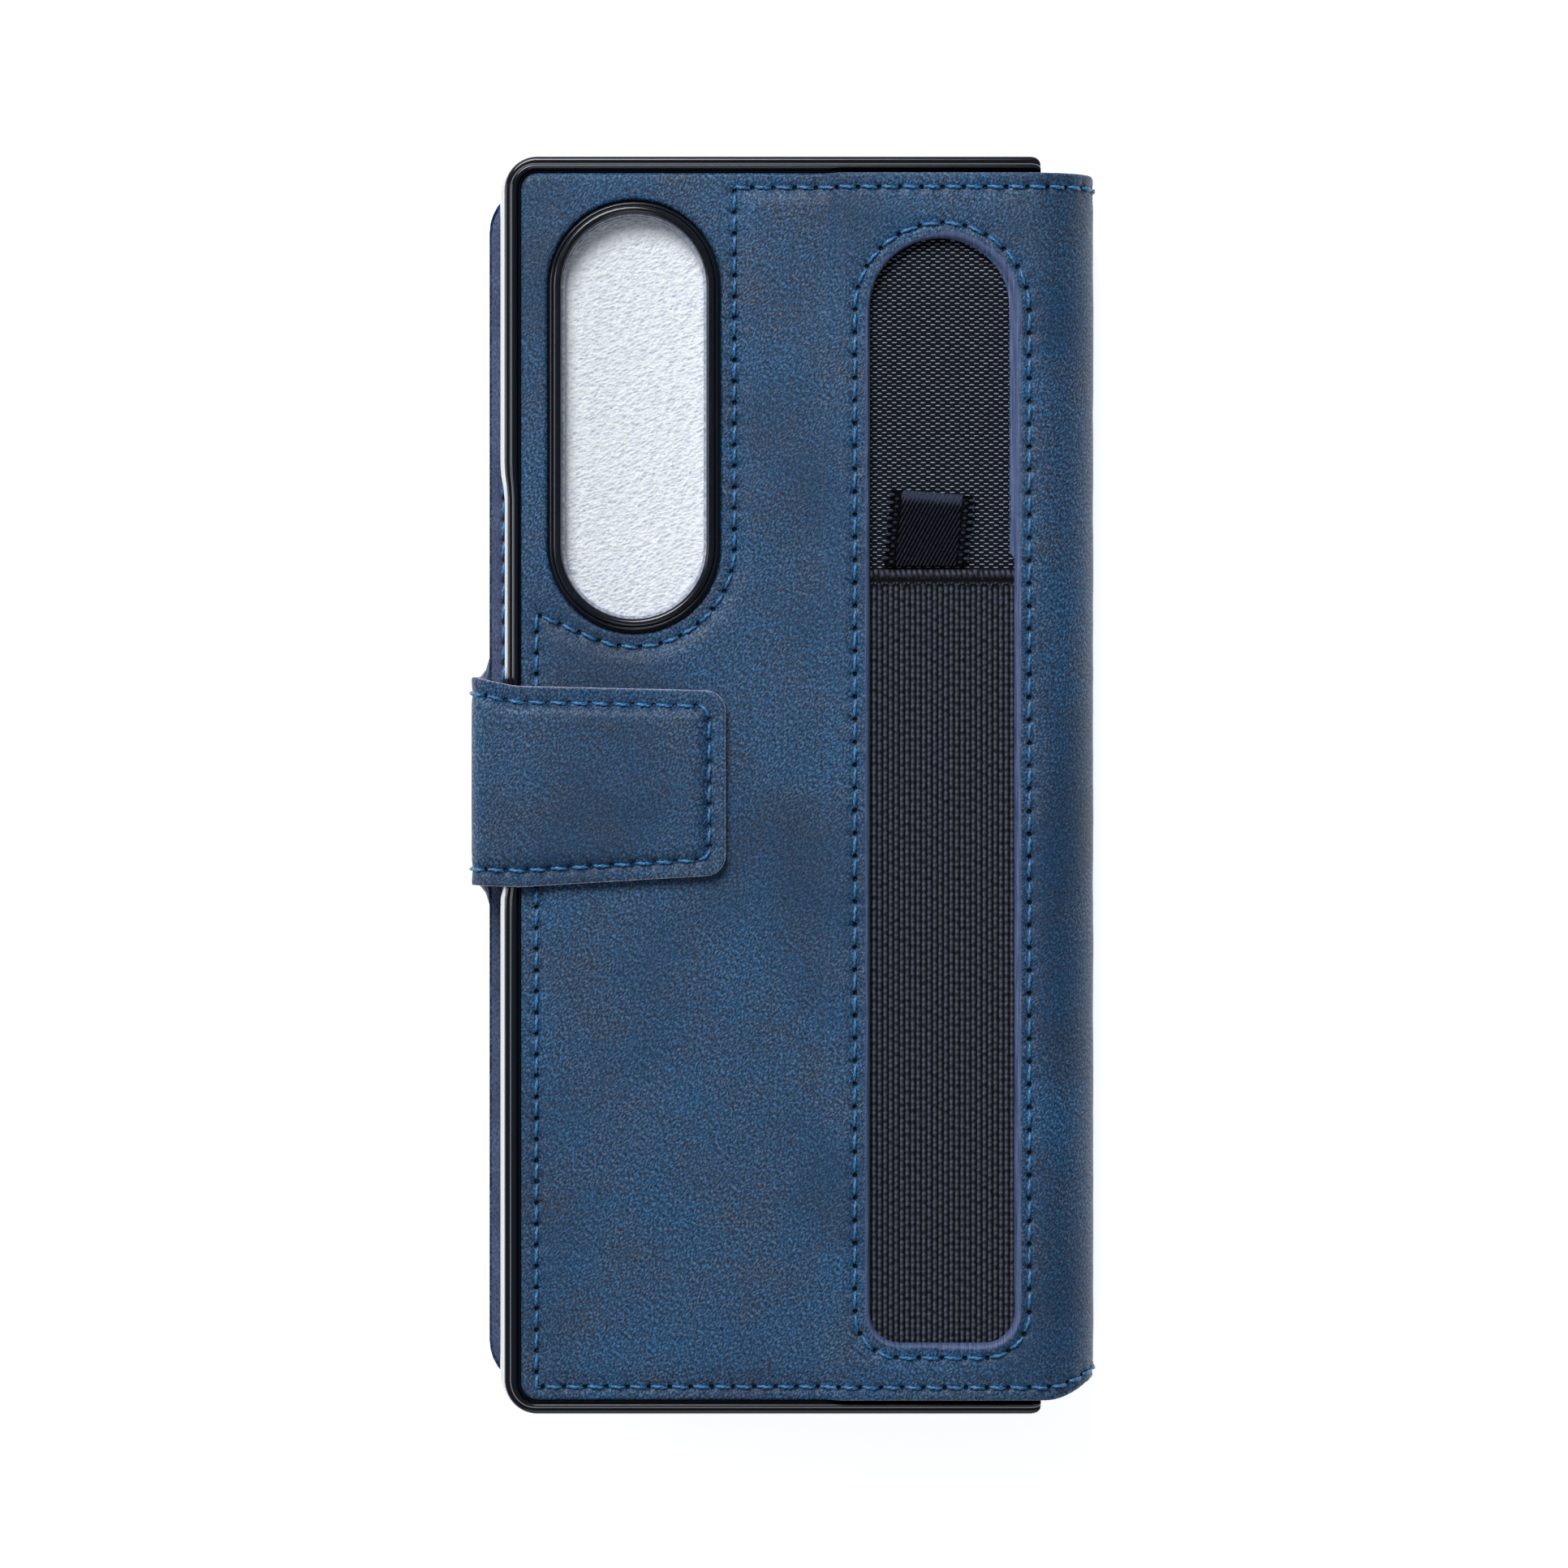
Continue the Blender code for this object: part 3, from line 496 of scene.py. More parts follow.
def make(name, points, faces, finish, flat=None, sharp=42, **shares):
    """Mesh object from points in millimetres; flat is where each point lies in its pattern."""
    mesh = bpy.data.meshes.new(name)
    points = np.asarray(points, float)
    mesh.from_pydata((points * MM).tolist(), [], [list(map(int, face)) for face in faces])
    bm = bmesh.new()
    bm.from_mesh(mesh)
    bmesh.ops.recalc_face_normals(bm, faces=bm.faces)
    bm.to_mesh(mesh)
    bm.free()
    flat = points if flat is None else flat
    if flat.shape[1] == 2:
        flat = np.concatenate([flat, np.zeros((len(flat), 1))], axis=1)
    place = mesh.attributes.new("flat", "FLOAT_VECTOR", "POINT")
    place.data.foreach_set("vector", flat.astype(np.float32).ravel())
    for share, values in shares.items():
        data = mesh.attributes.new(share, "FLOAT", "POINT").data
        data.foreach_set("value", np.asarray(values, np.float32))
    mesh.shade_smooth()
    mesh.set_sharp_from_angle(angle=math.radians(sharp))
    mesh.materials.append(finish)
    made = bpy.data.objects.new(name, mesh)
    bpy.context.scene.collection.objects.link(made)
    return made


def tube(points, faces, rings, closed=False):
    """Add a tube through rings of points to a mesh's lists, with flat ends or closed on itself."""
    start, around = len(points), len(rings[0])
    for ring in rings:
        points.extend(ring)
    for index in range(len(rings) if closed else len(rings) - 1):
        here, there = start + index * around, start + (index + 1) % len(rings) * around
        for k in range(around):
            after = (k + 1) % around
            faces.append((here + k, here + after, there + after, there + k))
    if not closed:
        last = start + (len(rings) - 1) * around
        faces += [range(start, start + around), range(last, last + around)]


def thin(groups, cell):
    """Points of each (points, gap) group in turn, less those nearer than gap to one already kept."""
    kept = []
    cells = {}
    for points, gap in groups:
        for x, y in points:
            column, row = int(x // cell), int(y // cell)
            if gap and any(
                abs(x - near_x) < gap and abs(y - near_y) < gap and math.hypot(x - near_x, y - near_y) < gap
                for i in (column - 1, column, column + 1)
                for j in (row - 1, row, row + 1)
                for near_x, near_y in cells.get((i, j), ())
            ):
                continue
            kept.append((x, y))
            cells.setdefault((column, row), []).append((x, y))
    return kept


def grid(low, high, pitch):
    """Flat points in staggered rows over a rectangle."""
    rows = np.arange(low[1], high[1], pitch * 0.866)
    columns = np.arange(low[0], high[0], pitch)
    return np.array([(x + pitch / 2 * (number % 2), y) for number, y in enumerate(rows) for x in columns])


def triangles_over(loops, groups, pitch):
    """Flat points and triangles that fill the first loop, less the others, fine where groups ask."""
    outline = np.asarray(loops[0])
    base = grid(outline.min(0), outline.max(0), pitch)
    candidates = [(np.concatenate([np.asarray(loop) for loop in loops]), 0)]
    for points, gap in (*groups, (base, pitch * 0.62)):
        keep = inside(points, loops[0])
        for hole in loops[1:]:
            keep &= ~inside(points, hole)
        candidates.append((points[keep], gap))
    points = thin(candidates, max(pitch, 0.5))
    edges = []
    start = 0
    for loop in loops:
        edges += [(start + i, start + (i + 1) % len(loop)) for i in range(len(loop))]
        start += len(loop)
    made = geometry.delaunay_2d_cdt([Vector(point) for point in points], edges, [], 1, 1e-6)
    faces = np.array(made[2])
    start = len(loops[0])
    for hole in loops[1:]:
        # a triangle in a hole has all its corners on the hole's loop, in the loop's own order
        on_loop = ((faces >= start) & (faces < start + len(hole))).all(axis=1)
        in_order = (faces < np.roll(faces, -1, axis=1)).sum(axis=1) == 2
        faces = faces[~(on_loop & in_order)]
        start += len(hole)
    return np.array([tuple(point) for point in made[0]]), faces


def skin(name, track, loops, top, under, finish, groups=(), pitch=0.62, coarse=2.4, sharp=42):
    """Closed layer of leather or cloth within loops; top and under give its faces' heights.

    top returns heights and a dict of shares for the material.
    """
    loops = [divide(loop, min(pitch, coarse)) for loop in loops]
    rim = sum(len(loop) for loop in loops)
    upper, upper_faces = triangles_over(loops, groups, pitch)
    lower, lower_faces = triangles_over(loops, (), coarse)
    height, shares = top(upper)
    points = np.concatenate([track.place(upper, height), track.place(lower, under(lower))])
    faces = [*upper_faces, *(lower_faces + len(upper))]
    start = 0
    for loop in loops:
        for i in range(len(loop)):
            here, there = start + i, start + (i + 1) % len(loop)
            faces.append((here, there, len(upper) + there, len(upper) + here))
        start += len(loop)
    flat = np.concatenate([np.insert(upper, 2, 0.0, axis=1), np.insert(lower, 2, 7.0, axis=1)])
    edge = np.zeros(len(flat))
    edge[:rim] = edge[len(upper) : len(upper) + rim] = 1.0
    shares = {key: np.concatenate([values, np.zeros(len(lower))]) for key, values in shares.items()}
    return make(name, points, faces, finish, flat, sharp, edge=edge, **shares)


def sew(name, seam, track, surface, finish, side=1):
    """Stitches of twisted thread along a seam; surface gives the height they lie on."""
    around, along, twists = 8, 10, 1.6
    turns = np.arange(around) * 2 * math.pi / around
    points, flats, faces = [], [], []
    for number in range(seam.count):
        share = np.linspace(0.13, 0.87, along)
        centre = seam.at((number + share) * seam.pitch)
        slant = 0.22 * (share - 0.5)
        centre = beside(centre, 1.0, closed=False) * slant[:, None] + centre * (1 - slant[:, None])
        arch = np.sin(math.pi * (share - share[0]) / (share[-1] - share[0] + 1e-9)).clip(0) ** 0.5
        height = surface(centre) + side * (0.42 * arch - 0.26)
        middle = track.place(centre, height)
        ahead = np.gradient(middle, axis=0)
        ahead /= np.linalg.norm(ahead, axis=1)[:, None]
        out = track.place(centre, height + side) - middle
        out -= ahead * (out * ahead).sum(axis=1)[:, None]
        out /= np.linalg.norm(out, axis=1)[:, None]
        across = np.cross(ahead, out)
        rings = []
        for index in range(along):
            twist = 2 * math.pi * twists * share[index] + number
            lobes = THREAD * (0.55 + 0.45 * arch[index]) * (0.62 + 0.6 * np.cos(turns - twist) ** 2)
            sideways = (lobes * np.cos(turns))[:, None] * across[index]
            rings.append(middle[index] + sideways + (lobes * np.sin(turns))[:, None] * out[index])
            walked = number * seam.pitch + share[index] * seam.pitch
            flats.append(np.stack([np.full(around, walked), turns, lobes], 1))
        tube(points, faces, rings)
    return make(name, points, faces, finish, np.concatenate(flats), sharp=70)


def grid_block(name, us, vs, over, beneath, finish, whole=False, **shares):
    """Closed sheet over a grid of (u, v): over and beneath give the points of its two faces.

    Unless whole is set, the face beneath is flat and made from its rim alone.
    """
    u, v = (part.ravel() for part in np.meshgrid(us, vs))
    columns, rows, count = len(us), len(vs), len(u)
    rim = list(range(columns))
    rim += [row * columns + columns - 1 for row in range(1, rows)]
    rim += [(rows - 1) * columns + i for i in range(columns - 2, -1, -1)]
    rim += [row * columns for row in range(rows - 2, 0, -1)]
    chosen = np.arange(count) if whole else np.array(rim)
    spots = rim if whole else list(range(len(rim)))
    first = (np.arange(rows - 1)[:, None] * columns + np.arange(columns - 1)).ravel()
    cells = np.stack([first, first + 1, first + 1 + columns, first + columns], axis=1)
    faces = [*cells]
    for i in range(len(rim)):
        after = (i + 1) % len(rim)
        faces.append((rim[i], rim[after], count + spots[after], count + spots[i]))
    faces += [*(cells + count)] if whole else [range(count, count + len(rim))]
    points = np.concatenate([over(u, v), beneath(u[chosen], v[chosen])])
    flat = np.stack([np.concatenate([u, u[chosen]]), np.concatenate([v, v[chosen]])], axis=1)
    values = {
        key: np.concatenate([share(u, v), share(u[chosen], v[chosen])]) for key, share in shares.items()
    }
    return make(name, points, faces, finish, flat, sharp=180, **values)


def pill_sweep(name, section, finish):
    """Ring round the camera window; section is a closed line of (distance from centre line, z)."""
    points, faces = [], []
    tube(points, faces, [[(x, y, z) for x, y in pill(distance)] for distance, z in section], closed=True)
    return make(name, points, faces, finish, sharp=50)


def cut(item, *tools):
    """Take closed tools away from item for good."""
    for tool in tools:
        modifier = item.modifiers.new(tool.name, "BOOLEAN")
        modifier.operation, modifier.solver, modifier.object = "DIFFERENCE", "EXACT", tool
    graph = bpy.context.evaluated_depsgraph_get()
    result = bpy.data.meshes.new_from_object(item.evaluated_get(graph), depsgraph=graph)
    item.modifiers.clear()
    item.data = result
    for tool in tools:
        bpy.data.objects.remove(tool, do_unlink=True)


def prism(name, outline, low, high, finish, axis):
    """Outline extruded between two places along axis x or y."""
    turned = {"x": lambda u, v, w: (w, u, v), "y": lambda u, v, w: (u, w, v)}[axis]
    points, faces = [], []
    tube(points, faces, [[turned(u, v, place) for u, v in outline] for place in (low, high)])
    return make(name, points, faces, finish)


def settle(item, slot, *nodes, body=None):
    """Hide the CAD nodes that a piece stands for, and hang it on the body it rides on; slot is not used."""
    if body:
        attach(item, body)
    if nodes:
        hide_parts(*nodes)


def bend(item, first, second, start, end):
    """Bake item's placement into its mesh; first and second are not used, and start and end only go into
    lists that are thrown away.
    """
    [v * MM for v in start]
    [v * MM for v in end]
    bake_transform(item)




# ------------------------------------------------------------------ materials


def srgb(red, green, blue):
    """Linear colour from 0-255 display values."""
    values = (value / 255 for value in (red, green, blue))
    return (*(v / 12.92 if v <= 0.04045 else ((v + 0.055) / 1.055) ** 2.4 for v in values), 1.0)


class Finish:
    """Principled material written in short calls, in the piece's own millimetres."""

    def __init__(self, name, on_cad=False):
        self.material = bpy.data.materials.new(name)
        self.material.use_nodes = True
        self.tree = self.material.node_tree
        self.shader = self.tree.nodes["Principled BSDF"]
        if on_cad:
            own = self.node("ShaderNodeTexCoord").outputs["Object"]
            scaled = self.node("ShaderNodeVectorMath", {0: own, "Scale": 1 / MM}, operation="SCALE")
            self.place = scaled.outputs["Vector"]
        else:
            self.place = self.node("ShaderNodeAttribute", attribute_name="flat").outputs["Vector"]

    def node(self, kind, inputs=None, **settings):
        """New node with its settings, and its inputs set to values or linked to sockets."""
        made = self.tree.nodes.new(kind)
        for key, value in settings.items():
            setattr(made, key, value)
        for key, value in (inputs or {}).items():
            self.feed(made.inputs[key], value)
        return made

    def feed(self, socket, value):
        if isinstance(value, bpy.types.NodeSocket):
            self.tree.links.new(value, socket)
        else:
            socket.default_value = value

    def share(self, name):
        return self.node("ShaderNodeAttribute", attribute_name=name).outputs["Fac"]

    def turned(self, degrees, scale):
        """Coordinates turned and then stretched."""
        turn = self.node("ShaderNodeMapping", {0: self.place, "Rotation": (0, 0, math.radians(degrees))})
        return self.node("ShaderNodeMapping", {0: turn.outputs[0], "Scale": scale}).outputs[0]

    def noise(self, scale, detail=2.0, roughness=0.5, place=None, distortion=0.0):
        values = {"Vector": place or self.place, "Scale": scale, "Detail": detail}
        values.update({"Roughness": roughness, "Distortion": distortion})
        return self.node("ShaderNodeTexNoise", values).outputs["Fac"]

    def cells(self, scale, place=None):
        values = {"Vector": place or self.place, "Scale": scale}
        return self.node("ShaderNodeTexVoronoi", values).outputs["Distance"]

    def maths(self, operation, first, second):
        return self.node("ShaderNodeMath", {0: first, 1: second}, operation=operation).outputs[0]

    def ramp(self, value, *stops):
        """Colour by value; each stop is (position, red, green, blue)."""
        made = self.node("ShaderNodeValToRGB", {0: value})
        band = made.color_ramp
        while len(band.elements) < len(stops):
            band.elements.new(0.5)
        for element, (position, *colour) in zip(band.elements, stops):
            element.position, element.color = position, srgb(*colour)
        return made.outputs["Color"]

    def span(self, value, low, high, first=0.0, last=1.0):
        """value taken from low..high to first..last, held at the ends."""
        values = {"Value": value, "From Min": low, "From Max": high, "To Min": first, "To Max": last}
        return self.node("ShaderNodeMapRange", values).outputs[0]

    def mix(self, share, first, second):
        return self.node("ShaderNodeMix", {0: share, 6: first, 7: second}, data_type="RGBA").outputs[2]

    def bump(self, height, depth, strength):
        """Bump of a real depth in millimetres."""
        values = {"Height": height, "Distance": depth * MM, "Strength": strength}
        return self.node("ShaderNodeBump", values).outputs[0]

    def done(self, **inputs):
        for key, value in inputs.items():
            self.feed(self.shader.inputs[key.replace("_", " ")], value)
        return self.material


def leather_finish(name):
    """Blue pebbled leather: slanted flecks over grey-brown valleys, needle holes darkened with painted shade,
    painted rims.
    """
    look = Finish(name)
    slanted = look.turned(38, (1.0, 0.5, 1.0))
    flecks = look.noise(5.2, roughness=0.55, place=slanted, distortion=0.3)
    pebbles = look.noise(2.6, roughness=0.55)
    grain = look.maths("ADD", look.maths("MULTIPLY", flecks, 0.72), look.maths("MULTIPLY", pebbles, 0.28))
    blue = look.ramp(grain, (0.38, 7, 25, 46), (0.5, 21, 66, 103), (0.62, 66, 118, 164))
    grey = look.ramp(grain, (0.38, 16, 22, 34), (0.5, 38, 58, 84), (0.62, 92, 112, 138))
    clouds = look.noise(0.11, detail=3, roughness=0.6)
    speckle = look.noise(1.3, roughness=0.6)
    colour = look.mix(look.span(look.maths("ADD", clouds, speckle), 0.86, 1.26), blue, grey)
    darker = look.span(look.noise(0.04), 0.46, 0.66, 0.0, 0.5)
    colour = look.mix(darker, colour, srgb(12, 38, 66))
    rim_lines = look.noise(1.0, detail=3, roughness=0.7, place=look.turned(0, (5.0, 0.12, 1.0)))
    rim = look.ramp(rim_lines, (0.35, 50, 64, 100), (0.65, 96, 110, 148))
    colour = look.mix(look.share("paint"), colour, rim)
    raw = look.ramp(flecks, (0.35, 120, 118, 138), (0.65, 198, 190, 205))
    colour = look.mix(look.maths("MULTIPLY", look.share("edge"), look.share("raw")), colour, raw)
    return look.done(
        # needle holes mixed to near-black: painted shade inside the holes
        Base_Color=look.mix(look.share("pit"), colour, srgb(2, 4, 9)),
        Roughness=look.span(grain, 0.38, 0.62, 0.6, 0.42),
        Specular_IOR_Level=0.38,
        Normal=look.bump(grain, 0.11, 0.85),
    )


def lining_finish(name):
    """Navy brushed lining with a short nap."""
    look = Finish(name)
    nap = look.noise(5.0, detail=3, roughness=0.7, place=look.turned(12, (1.0, 0.45, 1.0)))
    patches = look.noise(0.16, detail=3)
    colour = look.ramp(nap, (0.35, 42, 50, 78), (0.65, 94, 106, 142))
    colour = look.mix(look.span(patches, 0.4, 0.6, 0.0, 0.35), colour, srgb(30, 38, 62))
    return look.done(
        # needle holes mixed to near-black: painted shade inside the holes
        Base_Color=look.mix(look.share("pit"), colour, srgb(3, 4, 8)),
        Roughness=0.85,
        Sheen_Weight=0.35,
        Sheen_Roughness=0.4,
        Normal=look.bump(nap, 0.1, 0.7),
    )


def plastic_finish(name, colour, low, high):
    """Moulded plastic with faint flow marks and fine scuffs; low and high bound its roughness."""
    look = Finish(name)
    flow = look.noise(0.12, detail=3, roughness=0.6)
    scuff = look.noise(3.0, detail=3, roughness=0.7, place=look.turned(25, (1.0, 0.12, 1.0)))
    pale = tuple(min(1, part * 2.2) for part in colour)
    return look.done(
        Base_Color=look.mix(look.span(scuff, 0.45, 0.7, 0.0, 0.25), colour, pale),
        Roughness=look.span(look.maths("ADD", flow, scuff), 0.75, 1.25, low, high),
        IOR=1.5,
        Normal=look.bump(scuff, 0.01, 0.4),
    )


def lip_finish(name):
    """Soft clear grey edging inside the camera ring."""
    look = Finish(name)
    lines = look.noise(2.0)
    return look.done(
        Base_Color=look.ramp(lines, (0.35, 146, 149, 168), (0.65, 190, 193, 210)),
        Roughness=look.span(lines, 0.3, 0.7, 0.18, 0.34),
        Subsurface_Weight=0.25,
        Subsurface_Radius=(0.0006, 0.0006, 0.0007),
        Normal=look.bump(lines, 0.02, 0.5),
    )


def foam_finish(name, on_cad=False):
    """White packing foam: small closed cells whose skins glint."""
    look = Finish(name, on_cad)
    streaked = look.turned(-20, (1.0, 1.8, 1.0))
    cells = look.cells(1.5, place=streaked)
    small = look.cells(3.1)
    fibres = look.noise(2.4, detail=4, roughness=0.7, place=streaked, distortion=1.2)
    shade = look.maths("ADD", look.maths("MULTIPLY", fibres, 0.6), look.maths("MULTIPLY", cells, 0.55))
    height = look.maths("ADD", look.maths("MULTIPLY", cells, 0.9), look.maths("MULTIPLY", small, 0.4))
    height = look.maths("ADD", height, look.maths("MULTIPLY", fibres, 0.8))
    return look.done(
        Base_Color=look.ramp(shade, (0.34, 226, 230, 242), (0.56, 248, 249, 253), (0.7, 255, 255, 255)),
        Roughness=look.span(fibres, 0.35, 0.65, 0.36, 0.12),
        Specular_IOR_Level=1.0,
        Subsurface_Weight=0.15,
        Subsurface_Radius=(0.0008, 0.0008, 0.001),
        Normal=look.bump(height, 0.24, 0.8),
    )


def yarn_finish(name, dark, light, scale, shine=0.16):
    """Black yarn, painted lighter where it stands proud and darker in its hollows, as painted highlight and
    shade; relief is the height of each point.
    """
    look = Finish(name)
    strands = look.noise(scale, detail=3, roughness=0.7, place=look.turned(0, (1.0, 0.5, 1.0)))
    uneven = look.maths("MULTIPLY", look.maths("SUBTRACT", strands, 0.5), 0.9)
    relief = look.maths("ADD", look.share("relief"), uneven)
    return look.done(
        # colour by relief: painted highlight on raised yarn, painted shade in the hollows
        Base_Color=look.ramp(relief, (0.25, *dark), (0.95, *light)),
        Roughness=look.span(relief, 0.2, 1.0, 0.8, 0.55),
        Specular_IOR_Level=shine,
        Normal=look.bump(strands, 0.06, 0.7),
    )


def thread_finish(name):
    """Bright blue twisted thread, with its filaments."""
    look = Finish(name)
    filaments = look.noise(3.0, roughness=0.6, place=look.turned(30, (3.0, 1.0, 1.0)))
    return look.done(
        Base_Color=look.ramp(filaments, (0.35, 5, 50, 94), (0.52, 26, 104, 164), (0.68, 104, 184, 232)),
        Roughness=look.span(filaments, 0.35, 0.65, 0.45, 0.28),
        Specular_IOR_Level=0.7,
        Normal=look.bump(filaments, 0.05, 0.6),
    )


def board_finish(name):
    """Grey-brown pressed board with fibres; it hides between leather and lining."""
    look = Finish(name, on_cad=True)
    fibres = look.noise(1.4, detail=4, roughness=0.7, place=look.turned(20, (1.0, 0.3, 1.0)))
    colour = look.ramp(fibres, (0.3, 128, 120, 108), (0.7, 176, 168, 152))
    return look.done(Base_Color=colour, Roughness=look.span(fibres, 0.3, 0.7, 0.95, 0.8))


def steel_finish(name):
    """Plain rolled steel with fine lengthwise lines."""
    look = Finish(name, on_cad=True)
    lines = look.noise(2.0, detail=3, roughness=0.6, place=look.turned(0, (6.0, 0.15, 1.0)))
    colour = look.ramp(lines, (0.3, 150, 152, 156), (0.7, 196, 198, 202))
    rough = look.span(lines, 0.3, 0.7, 0.28, 0.42)
    return look.done(Base_Color=colour, Metallic=1.0, Roughness=rough, IOR=2.0)


LEATHER_LOOK = leather_finish("leather")
LINING_LOOK = lining_finish("lining")
SHELL_LOOK = plastic_finish("shell_plastic", srgb(11, 14, 22), 0.08, 0.2)
RING_LOOK = plastic_finish("ring_plastic", srgb(12, 15, 23), 0.12, 0.26)
LIP_LOOK = lip_finish("soft_lip")
FOAM_LOOK = foam_finish("packing_foam")
FABRIC_LOOK = yarn_finish("slot_fabric", (6, 9, 16), (170, 180, 204), 2.5)
ELASTIC_LOOK = yarn_finish("elastic", (2, 3, 6), (86, 90, 106), 3.2)
RIBBON_LOOK = yarn_finish("ribbon", (1, 1, 3), (58, 63, 80), 3.5, shine=0.05)
THREAD_LOOK = thread_finish("sewing_thread")


# ----------------------------------------------------------- leather and lining


def edge_roll(distance, width, depth):
    """How far an edge rounds over, from depth at the edge to nothing at width."""
    share = 1 - np.clip(distance / width, 0, 1)
    return depth * (1 - np.sqrt(np.clip(1 - share**2, 0, 1)))


def back_level(flat):
    """Height of the back leather before it is sewn: the step, and the padded field beside it."""
    step = smooth((flat[:, 0] - STEP_X) / STEP_WIDTH + 0.5)
    deep = np.where(inside(flat, BACK_SEAM.line), measure(flat, BACK_SEAM.line)[0], 0.0)
    field = smooth((deep - 0.15) / 1.9)
    plump = 0.06 * ripple(flat, 24.0, 5) * smooth(deep / 6)
    return (step - 1) * PANEL_LEVEL + (FIELD_RAISE + plump) * field * (1 - step)


def bend_round_spine(item, panel):
    """Pass item to bend with the ends of the fold round the spine, for its panel; bend only bakes its
    placement.
    """
    arc_end = PANEL.top - ARC_HEIGHT
    start_z, end_z = (0.0, ARC_HEIGHT) if panel == "front_cover" else (PANEL.top, arc_end)
    bend(item, panel, "spine", (SPINE_START, 0, start_z), (SPINE.right, 0, end_z))


def lay_on(top, seams):
    """Height of a sewn surface as its stitches see it, without the dips that they pull."""
    return lambda flat: top(flat)[0] + sewn(flat, seams)[0] - 0.1


def sewn_groups(seams):
    """Points that a sewn surface needs: (at the holes, along the stitches)."""
    return [(seam.dots(), HOLE_GAP) for seam in seams], [(seam.rows(), ROW_GAP) for seam in seams]


def build_back_leather():
    """Leather of the back and half the spine, with its windows for the camera and the pen."""
    outline = end_outline(PANEL.left, PANEL_CORNER)
    window = pill(RING_OUTER + CAMERA_GAP)
    opening, wide = slot_outline(), slot_outline(step=0.0)
    seams = (BACK_SEAM, SLOT_SEAM_LINE)
    middle = (SLOT_LEFT + SLOT_RIGHT) / 2

    def top(flat):
        drop, pit = sewn(flat, seams)
        height = back_level(flat) - drop
        outside = np.where(inside(flat, wide), 0.0, ring_distance(flat, wide))
        band = np.where(flat[:, 0] > middle, 0.85, 0.5)
        share = np.clip(outside / band, 0, 1)
        height -= 0.8 * (1 - np.sqrt(np.clip(1 - (1 - share) ** 2, 0, 1)))
        height -= 0.12 * bell(ring_distance(flat, opening), 0.25)
        height -= edge_roll(ring_distance(flat, window), 0.55, 0.45)
        height -= edge_roll(ring_distance(flat, outline), 0.5, 0.3) * (flat[:, 0] < SPINE_MIDDLE - 0.6)
        height += 0.035 * ripple(flat, 9.0, 3) + 0.012 * ripple(flat, 2.4, 4)
        return height, {"pit": pit, "paint": 1 - smooth((outside - band * 0.92) / 0.14)}

    def under(flat):
        return back_level(flat) - LEATHER

    rows = rows_beside(opening, 0.4, (0.14, 0.3, 0.5, 0.7, 0.9, 1.1))
    rows += rows_beside(window, 0.45, (0.16, 0.35, 0.6)) + rows_beside(outline, 0.5, (-0.18, -0.4))
    groups = (
        (np.concatenate([seam.dots() for seam in seams]), HOLE_GAP),
        (np.concatenate(rows), EDGE_GAP),
        (np.concatenate([seam.rows() for seam in seams]), ROW_GAP),
    )
    made = skin("back_leather_skin", BACK_TRACK, [outline, window, opening], top, under, LEATHER_LOOK, groups)
    bend_round_spine(made, "back")
    settle(made, "leather", "back_leather", "spine_leather")
    hole = math.pi * RING_OUTER**2 + 2 * RING_OUTER * (CAMERA_HIGH - CAMERA_LOW)
    hole += (SLOT_RIGHT - SLOT_LEFT) * (SLOT_HIGH - SLOT_LOW - 6.0)

    lying = lay_on(top, seams)
    stitches = sew("outline_stitches", BACK_SEAM, BACK_TRACK, lying, THREAD_LOOK)
    bend_round_spine(stitches, "back")
    settle(stitches, "thread", "outline_seam_thread")
    stitches = sew("slot_stitches", SLOT_SEAM_LINE, BACK_TRACK, lying, THREAD_LOOK)
    settle(stitches, "thread", "slot_seam_thread", body="back")


def build_front_leather():
    """Leather of the front cover and the other half of the spine; it lies face down."""
    outline = end_outline(COVER.left, COVER_CORNER)
    seams = (COVER_SEAM_LINE,)

    def at_strap(flat):
        """1 where the strap leaves the cover's free edge."""
        y = flat[:, 1]
        near = smooth((COVER.left + 2.0 - flat[:, 0]) / 1.5)
        return near * smooth((y + 16.0) / 1.5) * smooth((16.9 - y) / 1.5)

    def top(flat):
        drop, pit = sewn(flat, seams)
        roll = edge_roll(ring_distance(flat, outline), 0.7, 0.5) * (flat[:, 0] < SPINE_MIDDLE - 0.8)
        uneven = 0.03 * (1 + ripple(flat, 14.0, 13)) + 0.012 * (1 + ripple(flat, 2.6, 14))
        return -drop - roll * (1 - at_strap(flat)) - uneven, {"pit": pit}

    def under(flat):
        rim = 1 - smooth(ring_distance(flat, outline) / 1.1)
        flat_part = 1 - smooth((flat[:, 0] - COVER_BOARD.right) / 2.0)
        return -LEATHER - (COVER_LINING.floor - LEATHER - 0.05) * rim * flat_part

    holes, rows = sewn_groups(seams)
    groups = holes + [(row, EDGE_GAP) for row in rows_beside(outline, 0.5, (-0.2, -0.45))] + rows
    made = skin("front_leather_skin", FRONT_TRACK, [outline], top, under, LEATHER_LOOK, groups, pitch=0.85)
    bend_round_spine(made, "front_cover")
    settle(made, "leather", "front_leather", "spine_leather")

    stitches = sew("cover_stitches_outside", COVER_SEAM_LINE, FRONT_TRACK, lay_on(top, seams), THREAD_LOOK)
    bend_round_spine(stitches, "front_cover")
    settle(stitches, "thread")


